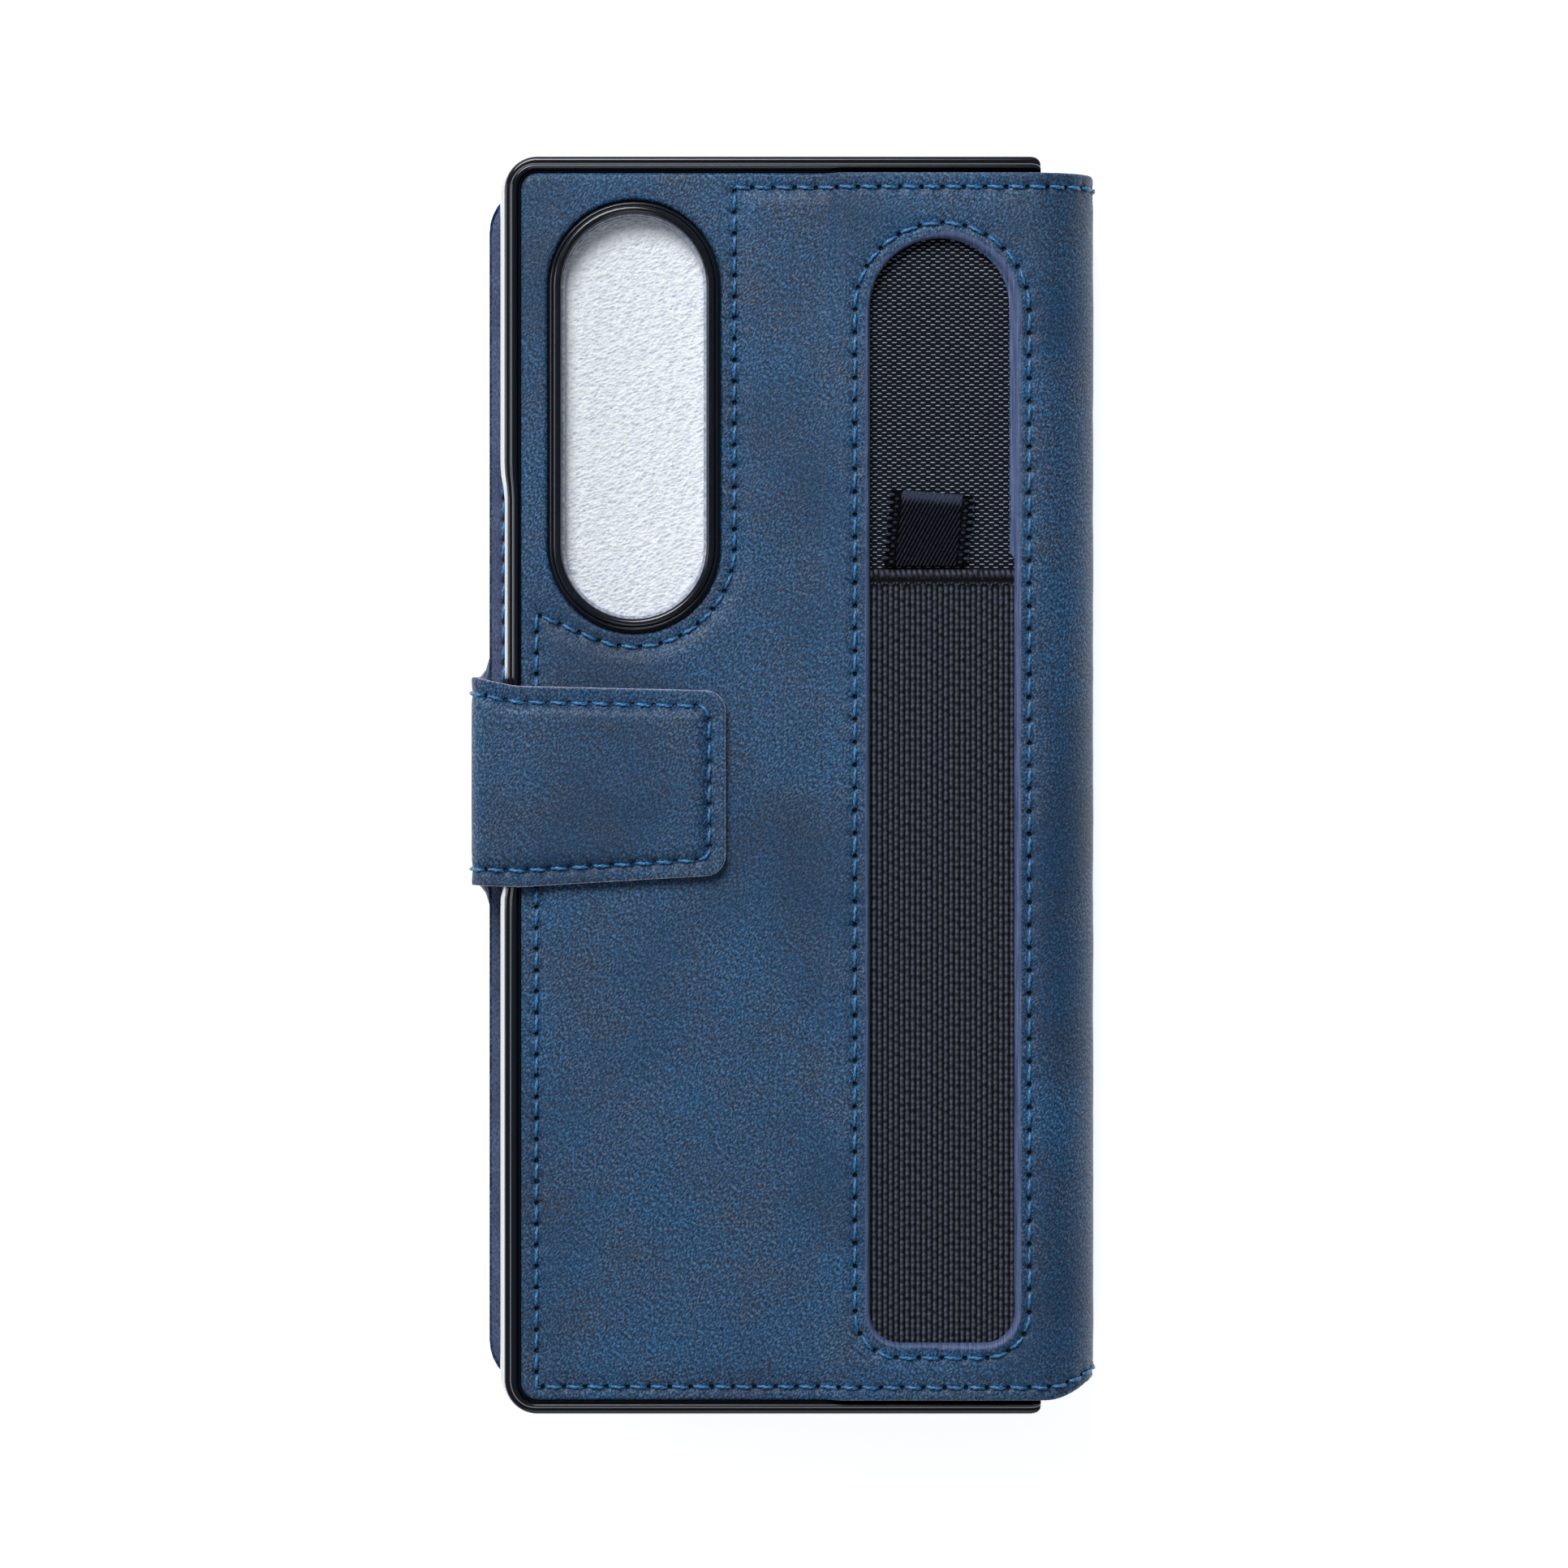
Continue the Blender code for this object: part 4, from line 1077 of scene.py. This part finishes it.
def build_cover_lining():
    """Lining of the front cover, carried on round its half of the spine."""
    inset = LINING_INSET
    outline = end_outline(COVER.left, COVER_CORNER)
    outline = [(s + inset * (s < 0), y - math.copysign(inset, y)) for s, y in outline]

    def depth(flat):
        toward_spine = smooth((flat[:, 0] - COVER_BOARD.right - 0.1) / 3.0)
        return COVER_LINING.top + (SPINE_DEPTH - COVER_LINING.top) * toward_spine

    def top(flat):
        drop, pit = sewn(flat, (COVER_SEAM_LINE,))
        roll = edge_roll(ring_distance(flat, outline), 0.5, 0.25) * (flat[:, 0] < SPINE_MIDDLE - 0.6)
        inner = depth(flat) - 0.5 * drop - roll - 0.02 * (1 + ripple(flat, 7.0, 23))
        return -np.maximum(inner, depth(flat) - LINING + 0.08), {"pit": pit}

    def under(flat):
        return -depth(flat) + LINING

    holes, rows = sewn_groups((COVER_SEAM_LINE,))
    made = skin(
        "cover_lining_skin", FRONT_TRACK, [outline], top, under, LINING_LOOK, holes + rows, pitch=1.0
    )
    bend_round_spine(made, "front_cover")
    settle(made, "lining", "front_lining", "spine_lining")

    def lying(flat):
        return -depth(flat) + 0.08

    stitches = sew("cover_stitches_inside", COVER_SEAM_LINE, FRONT_TRACK, lying, THREAD_LOOK, side=-1)
    bend_round_spine(stitches, "front_cover")
    settle(stitches, "thread", "cover_seam_thread")


def build_spine_lining():
    """Lining of the back's half of the spine, from the tray's open side."""
    first = SHELL.right + 0.3
    high = PANEL.high - LINING_INSET
    foot = [(s, y) for s, y in foot_line(PANEL.low + LINING_INSET, first, END_RISE) if s >= first]
    outline = [(SPINE_MIDDLE, high), (first, high), *foot]

    def top(flat):
        return -SPINE_DEPTH + 0.02 * (1 + ripple(flat, 6.0, 29)), {}

    def under(flat):
        return np.full(len(flat), -SPINE_DEPTH + LINING)

    made = skin("spine_lining_skin", BACK_TRACK, [outline], top, under, LINING_LOOK, pitch=0.9)
    bend_round_spine(made, "back")
    settle(made, "lining", "spine_lining")


# ---------------------------------------------------------------------- strap


def strap_level(flat):
    """Height of the strap's leather: full on the side and over the magnet, lower along its rim."""
    deep = ring_distance(flat, STRAP_WHOLE)
    on_tab = smooth((flat[:, 0] - STRAP_CORNER_START) / (STRAP_CORNER_END + 2.2 - STRAP_CORNER_START))
    return -STRAP_RIM_DROP * on_tab * (1 - smooth((deep - STRAP_SEAM + 0.1) / 1.5))


def strap_under(flat):
    """Depth of the strap leather's underside: it makes room for the magnet on the back."""
    on_tab = smooth((flat[:, 0] - STRAP_CORNER_START) / (STRAP_CORNER_END - STRAP_CORNER_START))
    return -0.7 - 0.5 * on_tab


def bend_strap(item, part):
    """Pass a stretch of the strap to bend with the ends of its bend at the root or at the tab; bend only
    bakes its placement.
    """
    left, top = STRAP_SIDE.left, STRAP_TAB.top
    if part == "root":
        start, end = (left + STRAP_LOWER_BEND, 0, 0), (left, 0, STRAP_LOWER_BEND)
        bend(item, "front_cover", "strap_side", start, end)
    else:
        start, end = (left, 0, top - STRAP_UPPER_BEND), (left + STRAP_UPPER_BEND, 0, top)
        bend(item, "strap_side", "strap_tab", start, end)


def build_strap_part(part, first, last, seams, on_tab):
    """One stretch of the strap, root or tab: its leather and its lining."""
    outline = strap_outline(first, last)

    def top(flat):
        drop, pit = sewn(flat, seams)
        roll = edge_roll(ring_distance(flat, STRAP_WHOLE), 0.3, 0.14) * smooth(flat[:, 0] / 2.0)
        uneven = 0.02 * ripple(flat, 8.0, 33) + 0.01 * ripple(flat, 2.2, 34)
        raw = (np.abs(flat[:, 0] - STRAP_MIDDLE) > 0.1).astype(float)
        return strap_level(flat) - drop - roll + uneven - 0.02, {"pit": pit, "raw": raw}

    def lining_top(flat):
        return strap_under(flat) - LAYER_GAP + 0.015 * ripple(flat, 3.0, 35), {}

    def lining_under(flat):
        return strap_under(flat) - LAYER_GAP - LINING

    holes, rows = sewn_groups(seams)
    edge, inner = rows_beside(outline, 0.4, (-0.14, -0.32))
    groups = holes + [(edge, 0.08), (inner, EDGE_GAP)] + rows
    name = f"strap_{part}_leather_skin"
    leather = skin(name, STRAP_TRACK, [outline], top, strap_under, LEATHER_LOOK, groups, pitch=0.5)
    bend_strap(leather, part)
    settle(leather, "leather", "strap_side_leather", *(["strap_tab_leather"] if on_tab else []))

    name = f"strap_{part}_lining_skin"
    lining = skin(name, STRAP_TRACK, [outline], lining_top, lining_under, LINING_LOOK, pitch=1.0)
    bend_strap(lining, part)
    settle(lining, "lining", "strap_side_lining", *(["strap_tab_lining"] if on_tab else []))


def sew_strap(part, seams, *nodes):
    """Stitches of one stretch of the strap."""
    for number, seam in enumerate(seams, 1):
        name = f"strap_{part}_stitches_{number}"
        stitches = sew(name, seam, STRAP_TRACK, lambda flat: strap_level(flat) - 0.1, THREAD_LOOK)
        bend_strap(stitches, part)
        settle(stitches, "thread", *nodes)


def build_strap():
    """Closing strap, cut at the middle of the case's side."""
    root_seams = (strap_root_seam(False), strap_root_seam(True))
    tab_seams = (STRAP_SEAM_LINE,)
    build_strap_part("root", 0.0, STRAP_MIDDLE, root_seams, False)
    build_strap_part("tab", STRAP_MIDDLE, STRAP_END, tab_seams, True)
    sew_strap("root", root_seams)
    sew_strap("tab", tab_seams, "strap_seam_thread")


# ----------------------------------------------------------------------- tray


def shell_section(flare):
    """Rim and wall of the tray as (distance in from its outer face, z), with the rim's ridge.

    flare is 1 where the wall leans in most toward its rim, and 0 where it stands straight.
    """
    low, top = SHELL.floor, SHELL.top
    section = arc((0.4, low + 0.5), (0.4, 0.5), 270, 180, 4)
    section += [(0.0, 9.0), (0.02, 13.0), (0.1 + 0.06 * flare, top - 4.0 - flare)]
    section += [(0.26 + 0.16 * flare, top - 2.6 - 0.8 * flare), (0.42 + 0.32 * flare, top - 1.5)]
    section += arc((1.1 + 0.16 * flare, top - 1.4), (0.66 - 0.14 * flare, 0.52), 168, 96, 6)
    section += [(1.34, top - 0.9)]
    section += arc((1.92, top - 0.78), (0.52, 0.78), 172, 8, 10)
    section += [(2.5, top - 0.8), (2.56, top - 0.66), (2.66, top - 0.68), (2.72, top - 0.9)]
    section += [(2.74, top - 1.25), (3.4, top - 1.25), (3.4, top - 2.1), (WALL + 0.8, top - 2.1)]
    section += arc((WALL + 0.7, top - 2.8), (0.7, 0.7), 90, 180, 4)
    return section + [(WALL, 11.0), (WALL, low + 0.3), (WALL - 0.3, low)]


def shell_path():
    """Stations round the tray's three walls: (x, y, inward x, inward y, rim scale, recess)."""
    left, right, low, high, corner = SHELL.left, SHELL.right, SHELL.low, SHELL.high, SHELL_CORNER
    gaps = (high - PANEL.high, PANEL.left - left, PANEL.low - low)
    scale_high, scale_left, scale_low = (gap / RIM_WIDTH for gap in gaps)
    ends = [0.0, 0.05, 0.15, 0.35, 0.7, 1.2, *np.arange(4.0, right - left - corner, 3.0)]

    def straight(y, inward, scale, ends):
        """Wall beside the tray's open side, rounded off at its end."""
        for end in ends:
            recess = WALL - math.sqrt(max(0.0, WALL**2 - max(0.0, WALL - end) ** 2))
            yield right - end, y, 0.0, inward, scale, recess

    def turn(middle, first, before, after):
        """Quarter turn from the angle first, as the rim's scale goes from before to after."""
        for angle in np.linspace(first, first + 90, 13):
            c, s = math.cos(math.radians(angle)), math.sin(math.radians(angle))
            share = float(smooth((angle - first) / 90))
            scale = before * (1 - share) + after * share
            yield left + corner + corner * c, middle + corner * s, -c, -s, scale, 0.0

    stations = [*straight(high, -1.0, scale_high, ends), *turn(high - corner, 90, scale_high, scale_left)]
    for y in np.arange(high - corner - 2.0, low + corner, -1.5):
        recess = 0.5 * float(smooth((39.5 - y) / 4.0) * smooth((y + 14.5) / 3.0))
        stations.append((left, y, 1.0, 0.0, scale_left, recess))
    stations += turn(low + corner, 180, scale_left, scale_low)
    return [*stations, *straight(low, 1.0, scale_low, ends[::-1])]


def build_shell_walls():
    """Rim and walls of the tray, swept round three sides, with the openings in the walls."""
    depth = max(distance for distance, _ in shell_section(0.0))
    rings = []
    for x, y, in_x, in_y, scale, recess in shell_path():
        ring = []
        for distance, z in shell_section(in_x):
            reach = (depth - (depth - distance) * (1 - recess / depth)) * scale
            ring.append((x + in_x * reach, y + in_y * reach, z))
        rings.append(ring)
    points, faces = [], []
    tube(points, faces, rings)
    walls = make("shell_rim", points, faces, SHELL_LOOK, sharp=38)
    corner = OPENING_CORNER
    keys = box_outline(KEYS_SPAN[0], KEYS_Z[0], KEYS_SPAN[1], KEYS_Z[1], (0, 0, corner, corner))
    socket = box_outline(-SOCKET_HALF_WIDTH, SOCKET_Z[0], SOCKET_HALF_WIDTH, SOCKET_Z[1], (corner,) * 4)
    cut(
        walls,
        prism("keys", keys, SHELL.left - 2, SHELL.left + 3, SHELL_LOOK, axis="x"),
        prism("socket", socket, SHELL.low - 2, SHELL.low + 3, SHELL_LOOK, axis="y"),
    )
    walls.data.set_sharp_from_angle(angle=math.radians(38))
    settle(walls, "shell", "back_shell", body="back")


def build_shell_plate():
    """Glossy plate of the tray, with its window for the camera."""
    outline = box_outline(SHELL.left + 2.4, SHELL.low + 2.0, SHELL.right, SHELL.high - 2.0, (2.5, 0, 0, 2.5))
    plate = skin(
        "shell_plate",
        level(SHELL.top - 1.3),
        [outline, pill(LIP.right - CAMERA_X + 1.1)],
        lambda flat: (np.zeros(len(flat)), {}),
        lambda flat: np.full(len(flat), -0.75),
        SHELL_LOOK,
        pitch=3.0,
        coarse=4.0,
    )
    settle(plate, "shell", "back_shell", body="back")


def build_camera_ring():
    """Ring round the camera window: a low outer bead and a tall glossy one."""
    top, seat = RING.top, PANEL.top - PANEL_LEVEL - LEATHER
    inner, outer = RING_INNER, RING_OUTER
    section = [(outer, seat)]
    section += arc((outer - 0.24, top - 0.75), (0.24, 0.3), 0, 120, 6)
    section += [(outer - 0.46, top - 0.62)]
    section += arc((inner + 0.52, top - 0.45), (0.5, 0.42), 15, 175, 12)
    section += [(inner + 0.02, top - 0.75), (inner + 0.02, top - 1.1), (inner, top - 1.15)]
    section += [(inner, RING.floor), (inner + 0.9, RING.floor), (inner + 0.9, seat)]
    settle(pill_sweep("camera_ring_body", section, RING_LOOK), "shell", "camera_ring", body="back")


def build_camera_lip():
    """Soft lip inside the ring."""
    top, inner, outer = LIP.top, RING_INNER - 0.38, RING_INNER - 0.03
    section = arc((inner + 0.1, top - 0.1), (0.1, 0.1), 180, 90, 4)
    section += [(inner + 0.2, top), (outer, top + 0.25), (outer, LIP.floor), (inner, LIP.floor)]
    settle(pill_sweep("camera_lip_body", section, LIP_LOOK), "lip", "camera_lip", body="back")


def build_foam():
    """Sheet of packing foam in the tray, finely pitted where it shows in the camera window."""
    outline = box_outline(FOAM.left, FOAM.low, FOAM.right, FOAM.high, (3.0,) * 4)
    window = pill(RING_OUTER - 1.0)
    groups = ((grid(np.min(window, axis=0), np.max(window, axis=0), 0.42), 0.3),)

    def top(flat):
        cells = ripple(flat, 1.3, 51) + 0.7 * ripple(flat * (1.0, 1.8), 2.1, 52)
        return -0.12 + 0.09 * cells + 0.05 * ripple(flat, 11.0, 53), {}

    def under(flat):
        return -(FOAM.top - FOAM.floor) + 0.05 * (1 + ripple(flat, 2.6, 54))

    fineness = {"pitch": 1.5, "coarse": 0.9, "sharp": 180}
    made = skin("packing_foam", level(FOAM.top), [outline], top, under, FOAM_LOOK, groups, **fineness)
    settle(made, "foam", "packing_foam_sheet", body="back")


# ------------------------------------------------------------------- pen slot


def build_slot_fabric():
    """Woven backing of the pen slot: a dark cloth with a yarn float at each crossing."""
    outline = slot_outline(SLOT_MARGIN, step=0.0)
    base = FABRIC.top - 0.12

    def top(flat):
        return 0.02 * ripple(flat, 5.0, 61), {"relief": np.full(len(flat), 0.05)}

    def under(flat):
        return np.full(len(flat), FABRIC.floor - base)

    cloth = skin("slot_cloth", level(base), [outline], top, under, FABRIC_LOOK, pitch=1.4, coarse=3.0)
    settle(cloth, "fabric", "pen_slot_fabric", body="back")
    build_floats(base)


def build_floats(base):
    """Yarn floats of the weave: short bars in rows, every other row set over by half."""
    pitch, row_gap, length, width = 1.2, 0.37, 0.64, 0.15
    chance = np.random.default_rng(62)
    border = beside(slot_outline(SLOT_MARGIN - 0.4, step=0.0), 0.0)
    turns = np.arange(6) * math.pi / 3
    points, faces, relief = [], [], []
    for number, row in enumerate(np.arange(ELASTIC.high - 0.6, SLOT_HIGH + 0.8, row_gap)):
        for spot in np.arange(SLOT_LEFT - 1.2 + pitch / 2 * (number % 2), SLOT_RIGHT + 1.2, pitch):
            if not inside(np.array([(spot, row)]), border)[0]:
                continue
            x, y = spot + chance.uniform(-0.04, 0.04), row + chance.uniform(-0.02, 0.02)
            stand = chance.uniform(0.7, 1)
            rings = []
            for share, size in ((-0.5, 0.25), (-0.38, 0.85), (0.0, 1.0), (0.38, 0.85), (0.5, 0.25)):
                wide, tall = 0.5 * width * size, 0.09 * stand * size
                ring = [(y + wide * math.cos(turn), base + 0.03 + tall * math.sin(turn)) for turn in turns]
                rings.append([(x + share * length, *place) for place in ring])
                # relief paints each float lighter at its raised middle and where it stands higher: painted
                # highlight
                relief += [0.3 + 0.6 * stand * size] * len(turns)
            tube(points, faces, rings)
    floats = make("slot_cloth_floats", points, faces, FABRIC_LOOK, sharp=180, relief=relief)
    settle(floats, "fabric", body="back")
    return floats


def build_elastic():
    """Elastic pen sleeve: ribs of knots, with a rolled and stitched hem along its top."""
    rib, knot_gap, hem, edge = 0.68, 0.75, 1.45, 0.8
    top, floor = ELASTIC.top, ELASTIC.floor
    hem_top, hem_low = ELASTIC.high, ELASTIC.high - hem
    groove, chain = hem_low - 0.12, hem_low - 0.42
    xs = np.arange(SLOT_LEFT - edge, SLOT_RIGHT + edge, rib / 4)
    ys = np.arange(SLOT_LOW - edge, hem_top + 0.01, knot_gap / 4)

    def ribs(x, y):
        number = np.floor(x / rib)
        centre = np.abs((x / rib) % 1.0 - 0.5) * 2
        across = np.clip(1.25 - centre**2 * 1.6, 0, 1)
        sway = 0.12 * np.sin(number * 2.4) + 0.25 * (number % 2)
        lumps = 0.5 + 0.5 * np.cos(2 * math.pi * (y / knot_gap + sway))
        varied = 0.85 + 0.15 * np.sin(number * 5.1 + np.floor(y / knot_gap + sway) * 3.7)
        return across * (0.55 + 0.45 * lumps) * varied

    def relief(x, y):
        share = np.clip((y - hem_low) / (hem_top - hem_low), 0, 1)
        roll = np.sqrt(np.clip(1 - (2 * share - 1) ** 2, 0, 1))
        knots = ribs(x + 0.25 * y, 0.6 * y)
        upper = smooth((share - 0.36) / 0.1)
        hem_relief = roll * (upper * (0.15 + 0.85 * knots) + (1 - upper) * (0.32 + 0.1 * knots))
        wave = chain + 0.09 * np.sin(2 * math.pi * x / 1.36)
        chain_relief = bell(y - wave, 0.14) * (0.55 + 0.35 * np.sin(2 * math.pi * x / 0.45))
        body = ribs(x, y) * smooth((chain - 0.15 - y) / 0.3)
        return np.where(y > groove + 0.05, hem_relief, np.maximum(body, chain_relief))

    def over(x, y):
        return np.stack([x, y, top - 0.42 + 0.42 * relief(x, y)], axis=1)

    def beneath(x, y):
        return np.stack([x, y, np.full(len(x), floor)], axis=1)

    # relief also paints the knots lighter and the gaps between the ribs darker: painted light and shade
    made = grid_block("elastic_sleeve", xs, ys, over, beneath, ELASTIC_LOOK, relief=relief)
    settle(made, "elastic", "pen_elastic", body="back")


def build_pull_tab():
    """Satin ribbon tab, folded double: twill ridges, a frayed fold on top and looped selvedges."""
    left, low = PULL_TAB.left - 0.15, PULL_TAB.low - 0.4
    width, ply, lean, slope, cell = 10.2, 0.16, 0.9, 0.8, 0.13
    front, back = PULL_TAB.floor + 0.4, PULL_TAB.floor + 0.12
    tall = PULL_TAB.high - low
    turn = (front - back) / 2
    top = tall - turn
    length = 2 * top + math.pi * turn

    def lay(across, walked, out):
        """Points on the folded ribbon: walked runs up the front, over the fold and down behind."""
        round_fold = np.clip((walked - top) / turn, 0, math.pi)
        up = np.minimum(walked, top) - np.maximum(walked - top - math.pi * turn, 0)
        up = up + (turn + out) * np.sin(round_fold)
        share = up / tall
        z = (front + back) / 2 + (turn + out) * np.cos(round_fold)
        z = z + 0.07 * np.sin(across * 0.55 + 0.6) * share
        x = left + across - lean * (1 - share)
        return np.stack([x, low + up - slope * share * across / width, z], axis=1)

    # relief sets the ribbon's height and, through its finish, paints twill ridges lighter and hollows darker;
    # the frayed fold is painted lighter as painted sheen over its frayed yarn
    def relief(across, walked):
        edge = smooth((np.abs(across - width / 2) - width / 2 + 1.5) / 0.25)
        twill = 0.5 + 0.5 * np.sin(2 * math.pi * (across - walked * 0.42) / 0.47)
        fold = bell(walked - top + 0.3, 0.75)
        fray = 0.5 + 0.5 * np.sin(2 * math.pi * across / 0.31 + 3 * np.sin(walked * 5))
        picot = 0.5 + 0.5 * np.cos(2 * math.pi * walked / 0.98)
        middle = twill**2 * (0.75 - 0.2 * fold) + fold * (0.45 + 0.75 * fray)
        return middle * (1 - edge) + edge * (0.05 + 0.25 * picot)

    def over(across, walked):
        return lay(across, walked, 0.02 + 0.11 * relief(across, walked))

    def beneath(across, walked):
        return lay(across, walked, 0.02 - ply * 0.5)

    across = np.arange(0, width + 0.01, cell)
    walked = np.concatenate([np.arange(0, top + 0.8, cell), np.arange(top + 1.0, length, 0.5)])
    ribbon = grid_block(
        "pull_tab_ribbon", across, walked, over, beneath, RIBBON_LOOK, whole=True, relief=relief
    )

    points, faces, tones = [], [], []
    for side in (-1, 1):
        for number, along in enumerate(np.arange(0.5, top - 0.2, 0.49)):
            # every other picot stands at the selvedge, long and painted paler as lit; the rest lie further
            # in, painted darker as shaded
            from_edge, long, tone = (0.12, 0.42, 0.85) if number % 2 else (0.85, 0.3, 0.6)
            spot = width / 2 + side * (width / 2 - from_edge)
            add_knot(points, faces, lay(np.array([spot]), np.array([along]), 0.1)[0], (long, 0.21, 0.16))
            tones += [tone] * (len(points) - len(tones))
    knots = make("pull_tab_picots", points, faces, RIBBON_LOOK, sharp=180, relief=tones)
    start, end = ((left + width / 2, y, PULL_TAB.floor) for y in (low, PULL_TAB.low + 1.0))
    for item, nodes in ((ribbon, ["pen_pull_tab"]), (knots, [])):
        bend(item, "back", "pull_tab", start, end)
        settle(item, "ribbon", *nodes)


def add_knot(points, faces, centre, radii, around=8, rings=5):
    """Add a small round knot of thread to a list of points and faces."""
    (x, y, z), (long, wide, tall) = centre, radii
    turns = [2 * math.pi * k / around for k in range(around)]
    angles = [math.pi * (ring + 0.5) / rings for ring in range(rings)]
    tube(points, faces, [
        [
            (
                x + long * math.cos(angle),
                y + wide * math.sin(angle) * math.cos(turn),
                z + tall * math.sin(angle) * math.sin(turn),
            )
            for turn in turns
        ]
        for angle in angles
    ])


# -------------------------------------------------------------------- pockets


def pocket_outline(room, corner):
    """Rectangle with round corners and a thumb notch in its right edge."""
    inner, middle = room.right - 6, (room.low + room.high) / 2
    turns = np.radians(np.linspace(268, 92, 21))
    notch = [(room.right + 0.6 * 8.0 * math.cos(turn), middle + 8.0 * math.sin(turn)) for turn in turns]
    left = [(room.left, room.high, corner), (room.left, room.low, corner)]
    outline = rounded([(inner, room.high, 0), *left, (inner, room.low, 0)])
    outline += rounded([(inner, room.low, 0), (room.right, room.low, corner), (room.right, 0, 0)])[1:-1]
    upper = rounded([(room.right, 0, 0), (room.right, room.high, corner), (inner, room.high, 0)])[1:-1]
    return outline + notch + upper


def pocket_seams(room, covered):
    """Seams of a pocket: along its top and foot, and down its left side where no pocket covers it."""
    inset = 1.2
    left = covered.right + 0.6 if covered else room.left + inset
    low, high = ([(left, y), (room.right - 1.0, y)] for y in (room.low + inset, room.high - inset))
    return [Seam(line, SEAM_PITCH) for line in ([low, high] if covered else [[*low[::-1], *high]])]


def build_pocket(name, number, covered=None):
    """One pocket of the front cover, with its stitches; covered is the pocket that lies over its left."""
    room, corner = node_box(name), 2.0
    if name == "cash_pocket":
        outline = box_outline(room.left, room.low, room.right, room.high, (corner,) * 4)
    else:
        outline = pocket_outline(room, corner)
    seams = pocket_seams(room, covered and node_box(covered))
    track = level(room.top)

    def top(flat):
        drop, pit = sewn(flat, seams)
        crease = 0.09 * bell(flat[:, 0] - room.right + 1.6, 0.25)
        roll = edge_roll(ring_distance(flat, outline), 0.4, 0.22)
        uneven = 0.015 * (1 + ripple(flat, 9.0, 70 + number))
        return -0.5 * np.minimum(drop, 0.3) - roll - crease - uneven, {"pit": pit}

    def under(flat):
        return np.full(len(flat), room.floor - room.top)

    def lying(flat):
        return np.full(len(flat), -0.12)

    holes, rows = sewn_groups(seams)
    groups = holes + rows + [(row, EDGE_GAP) for row in rows_beside(outline, 0.5, (-0.2,))]
    pocket = skin(f"{name}_skin", track, [outline], top, under, LINING_LOOK, groups, pitch=1.1)
    settle(pocket, "lining", name, body="front_cover")
    for index, seam in enumerate(seams, 1):
        stitches = sew(f"{name}_stitches_{index}", seam, track, lying, THREAD_LOOK)
        settle(stitches, "thread", body="front_cover")


def build_pockets():
    """Three stepped card pockets and a cash pocket inside the front cover."""
    build_pocket("card_pocket_1", 0)
    build_pocket("card_pocket_2", 1, "card_pocket_1")
    build_pocket("card_pocket_3", 2, "card_pocket_2")
    build_pocket("cash_pocket", 3)


# ------------------------------------------------------------ kept CAD pieces


def dress_cad_nodes():
    """Boards, pad, steel plate and magnet stay as the CAD made them, inside the case."""
    finishes = {
        "front_board": (board_finish("front_board_card"), "board"),
        "back_board": (board_finish("back_board_card"), "board"),
        "back_pad": (foam_finish("back_pad_foam", on_cad=True), "foam"),
        "back_magnet": (steel_finish("back_plate_steel"), "steel"),
        "strap_magnet": (steel_finish("strap_magnet_steel"), "steel"),
    }
    for name, (finish, slot) in finishes.items():
        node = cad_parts[name]
        node.data.materials.clear()
        node.data.materials.append(finish)


# ---------------------------------------------------------------------- stage


def place_object(name, data):
    """Object made of data, linked into the scene."""
    made = bpy.data.objects.new(name, data)
    bpy.context.scene.collection.objects.link(made)
    return made


def build_floor():
    """Pale floor just under the case."""
    mesh = bpy.data.meshes.new("floor")
    reach, drop = 3.0, -0.0005
    sides = ((-reach, -reach), (reach, -reach), (reach, reach), (-reach, reach))
    mesh.from_pydata([(*side, drop) for side in sides], [], [(0, 1, 2, 3)])
    floor = place_object("floor", mesh)
    paper = bpy.data.materials.new("floor")
    paper.use_nodes = True
    shader = paper.node_tree.nodes["Principled BSDF"]
    shader.inputs["Base Color"].default_value = (0.9, 0.9, 0.905, 1)
    shader.inputs["Roughness"].default_value = 0.9
    shader.inputs["Emission Color"].default_value = (1, 1, 1, 1)
    shader.inputs["Emission Strength"].default_value = 0.78
    mesh.materials.append(paper)


def build_lights():
    """Faint cool sky, and soft lamps over, left of and in front of the case."""
    world = bpy.data.worlds.new("studio")
    bpy.context.scene.world = world
    world.use_nodes = True
    sky = world.node_tree.nodes["Background"]
    sky.inputs["Color"].default_value = (0.82, 0.91, 1.0, 1)
    sky.inputs["Strength"].default_value = 0.16
    lights = (
        ("overhead", (-0.3, 0.8, 0.95), 0.7, 15.5),
        ("left", (-1.3, 0.2, 0.5), 0.5, 3.0),
        ("front", (0.0, -0.9, 0.9), 0.8, 2.4),
    )
    for name, place, size, power in lights:
        data = bpy.data.lights.new(name, "AREA")
        data.shape = "DISK"
        data.size = size
        data.energy = power
        data.color = (0.93, 0.97, 1.0)
        lamp = place_object(name, data)
        lamp.location = place
        lamp.rotation_euler = (-Vector(place)).to_track_quat("-Z", "Y").to_euler()


def build_camera():
    """Camera that looks straight down; width is what it sees at the case's top, in millimetres."""
    data = bpy.data.cameras.new("camera")
    camera = place_object("camera", data)
    distance, width, offset = 850.0, 193.2, 0.1
    data.sensor_width = 36.0
    data.lens = data.sensor_width * distance / width
    data.clip_start, data.clip_end = 0.05, 10.0
    camera.location = (offset * MM, offset * MM, (distance + PANEL.top) * MM)
    bpy.context.scene.camera = camera
    bpy.context.scene.view_settings.view_transform = "Standard"


build_floor()
build_lights()
build_camera()
build_back_leather()
build_front_leather()
build_cover_lining()
build_spine_lining()
build_strap()
build_shell_walls()
build_shell_plate()
build_camera_ring()
build_camera_lip()
build_foam()
build_slot_fabric()
build_elastic()
build_pull_tab()
build_pockets()
dress_cad_nodes()
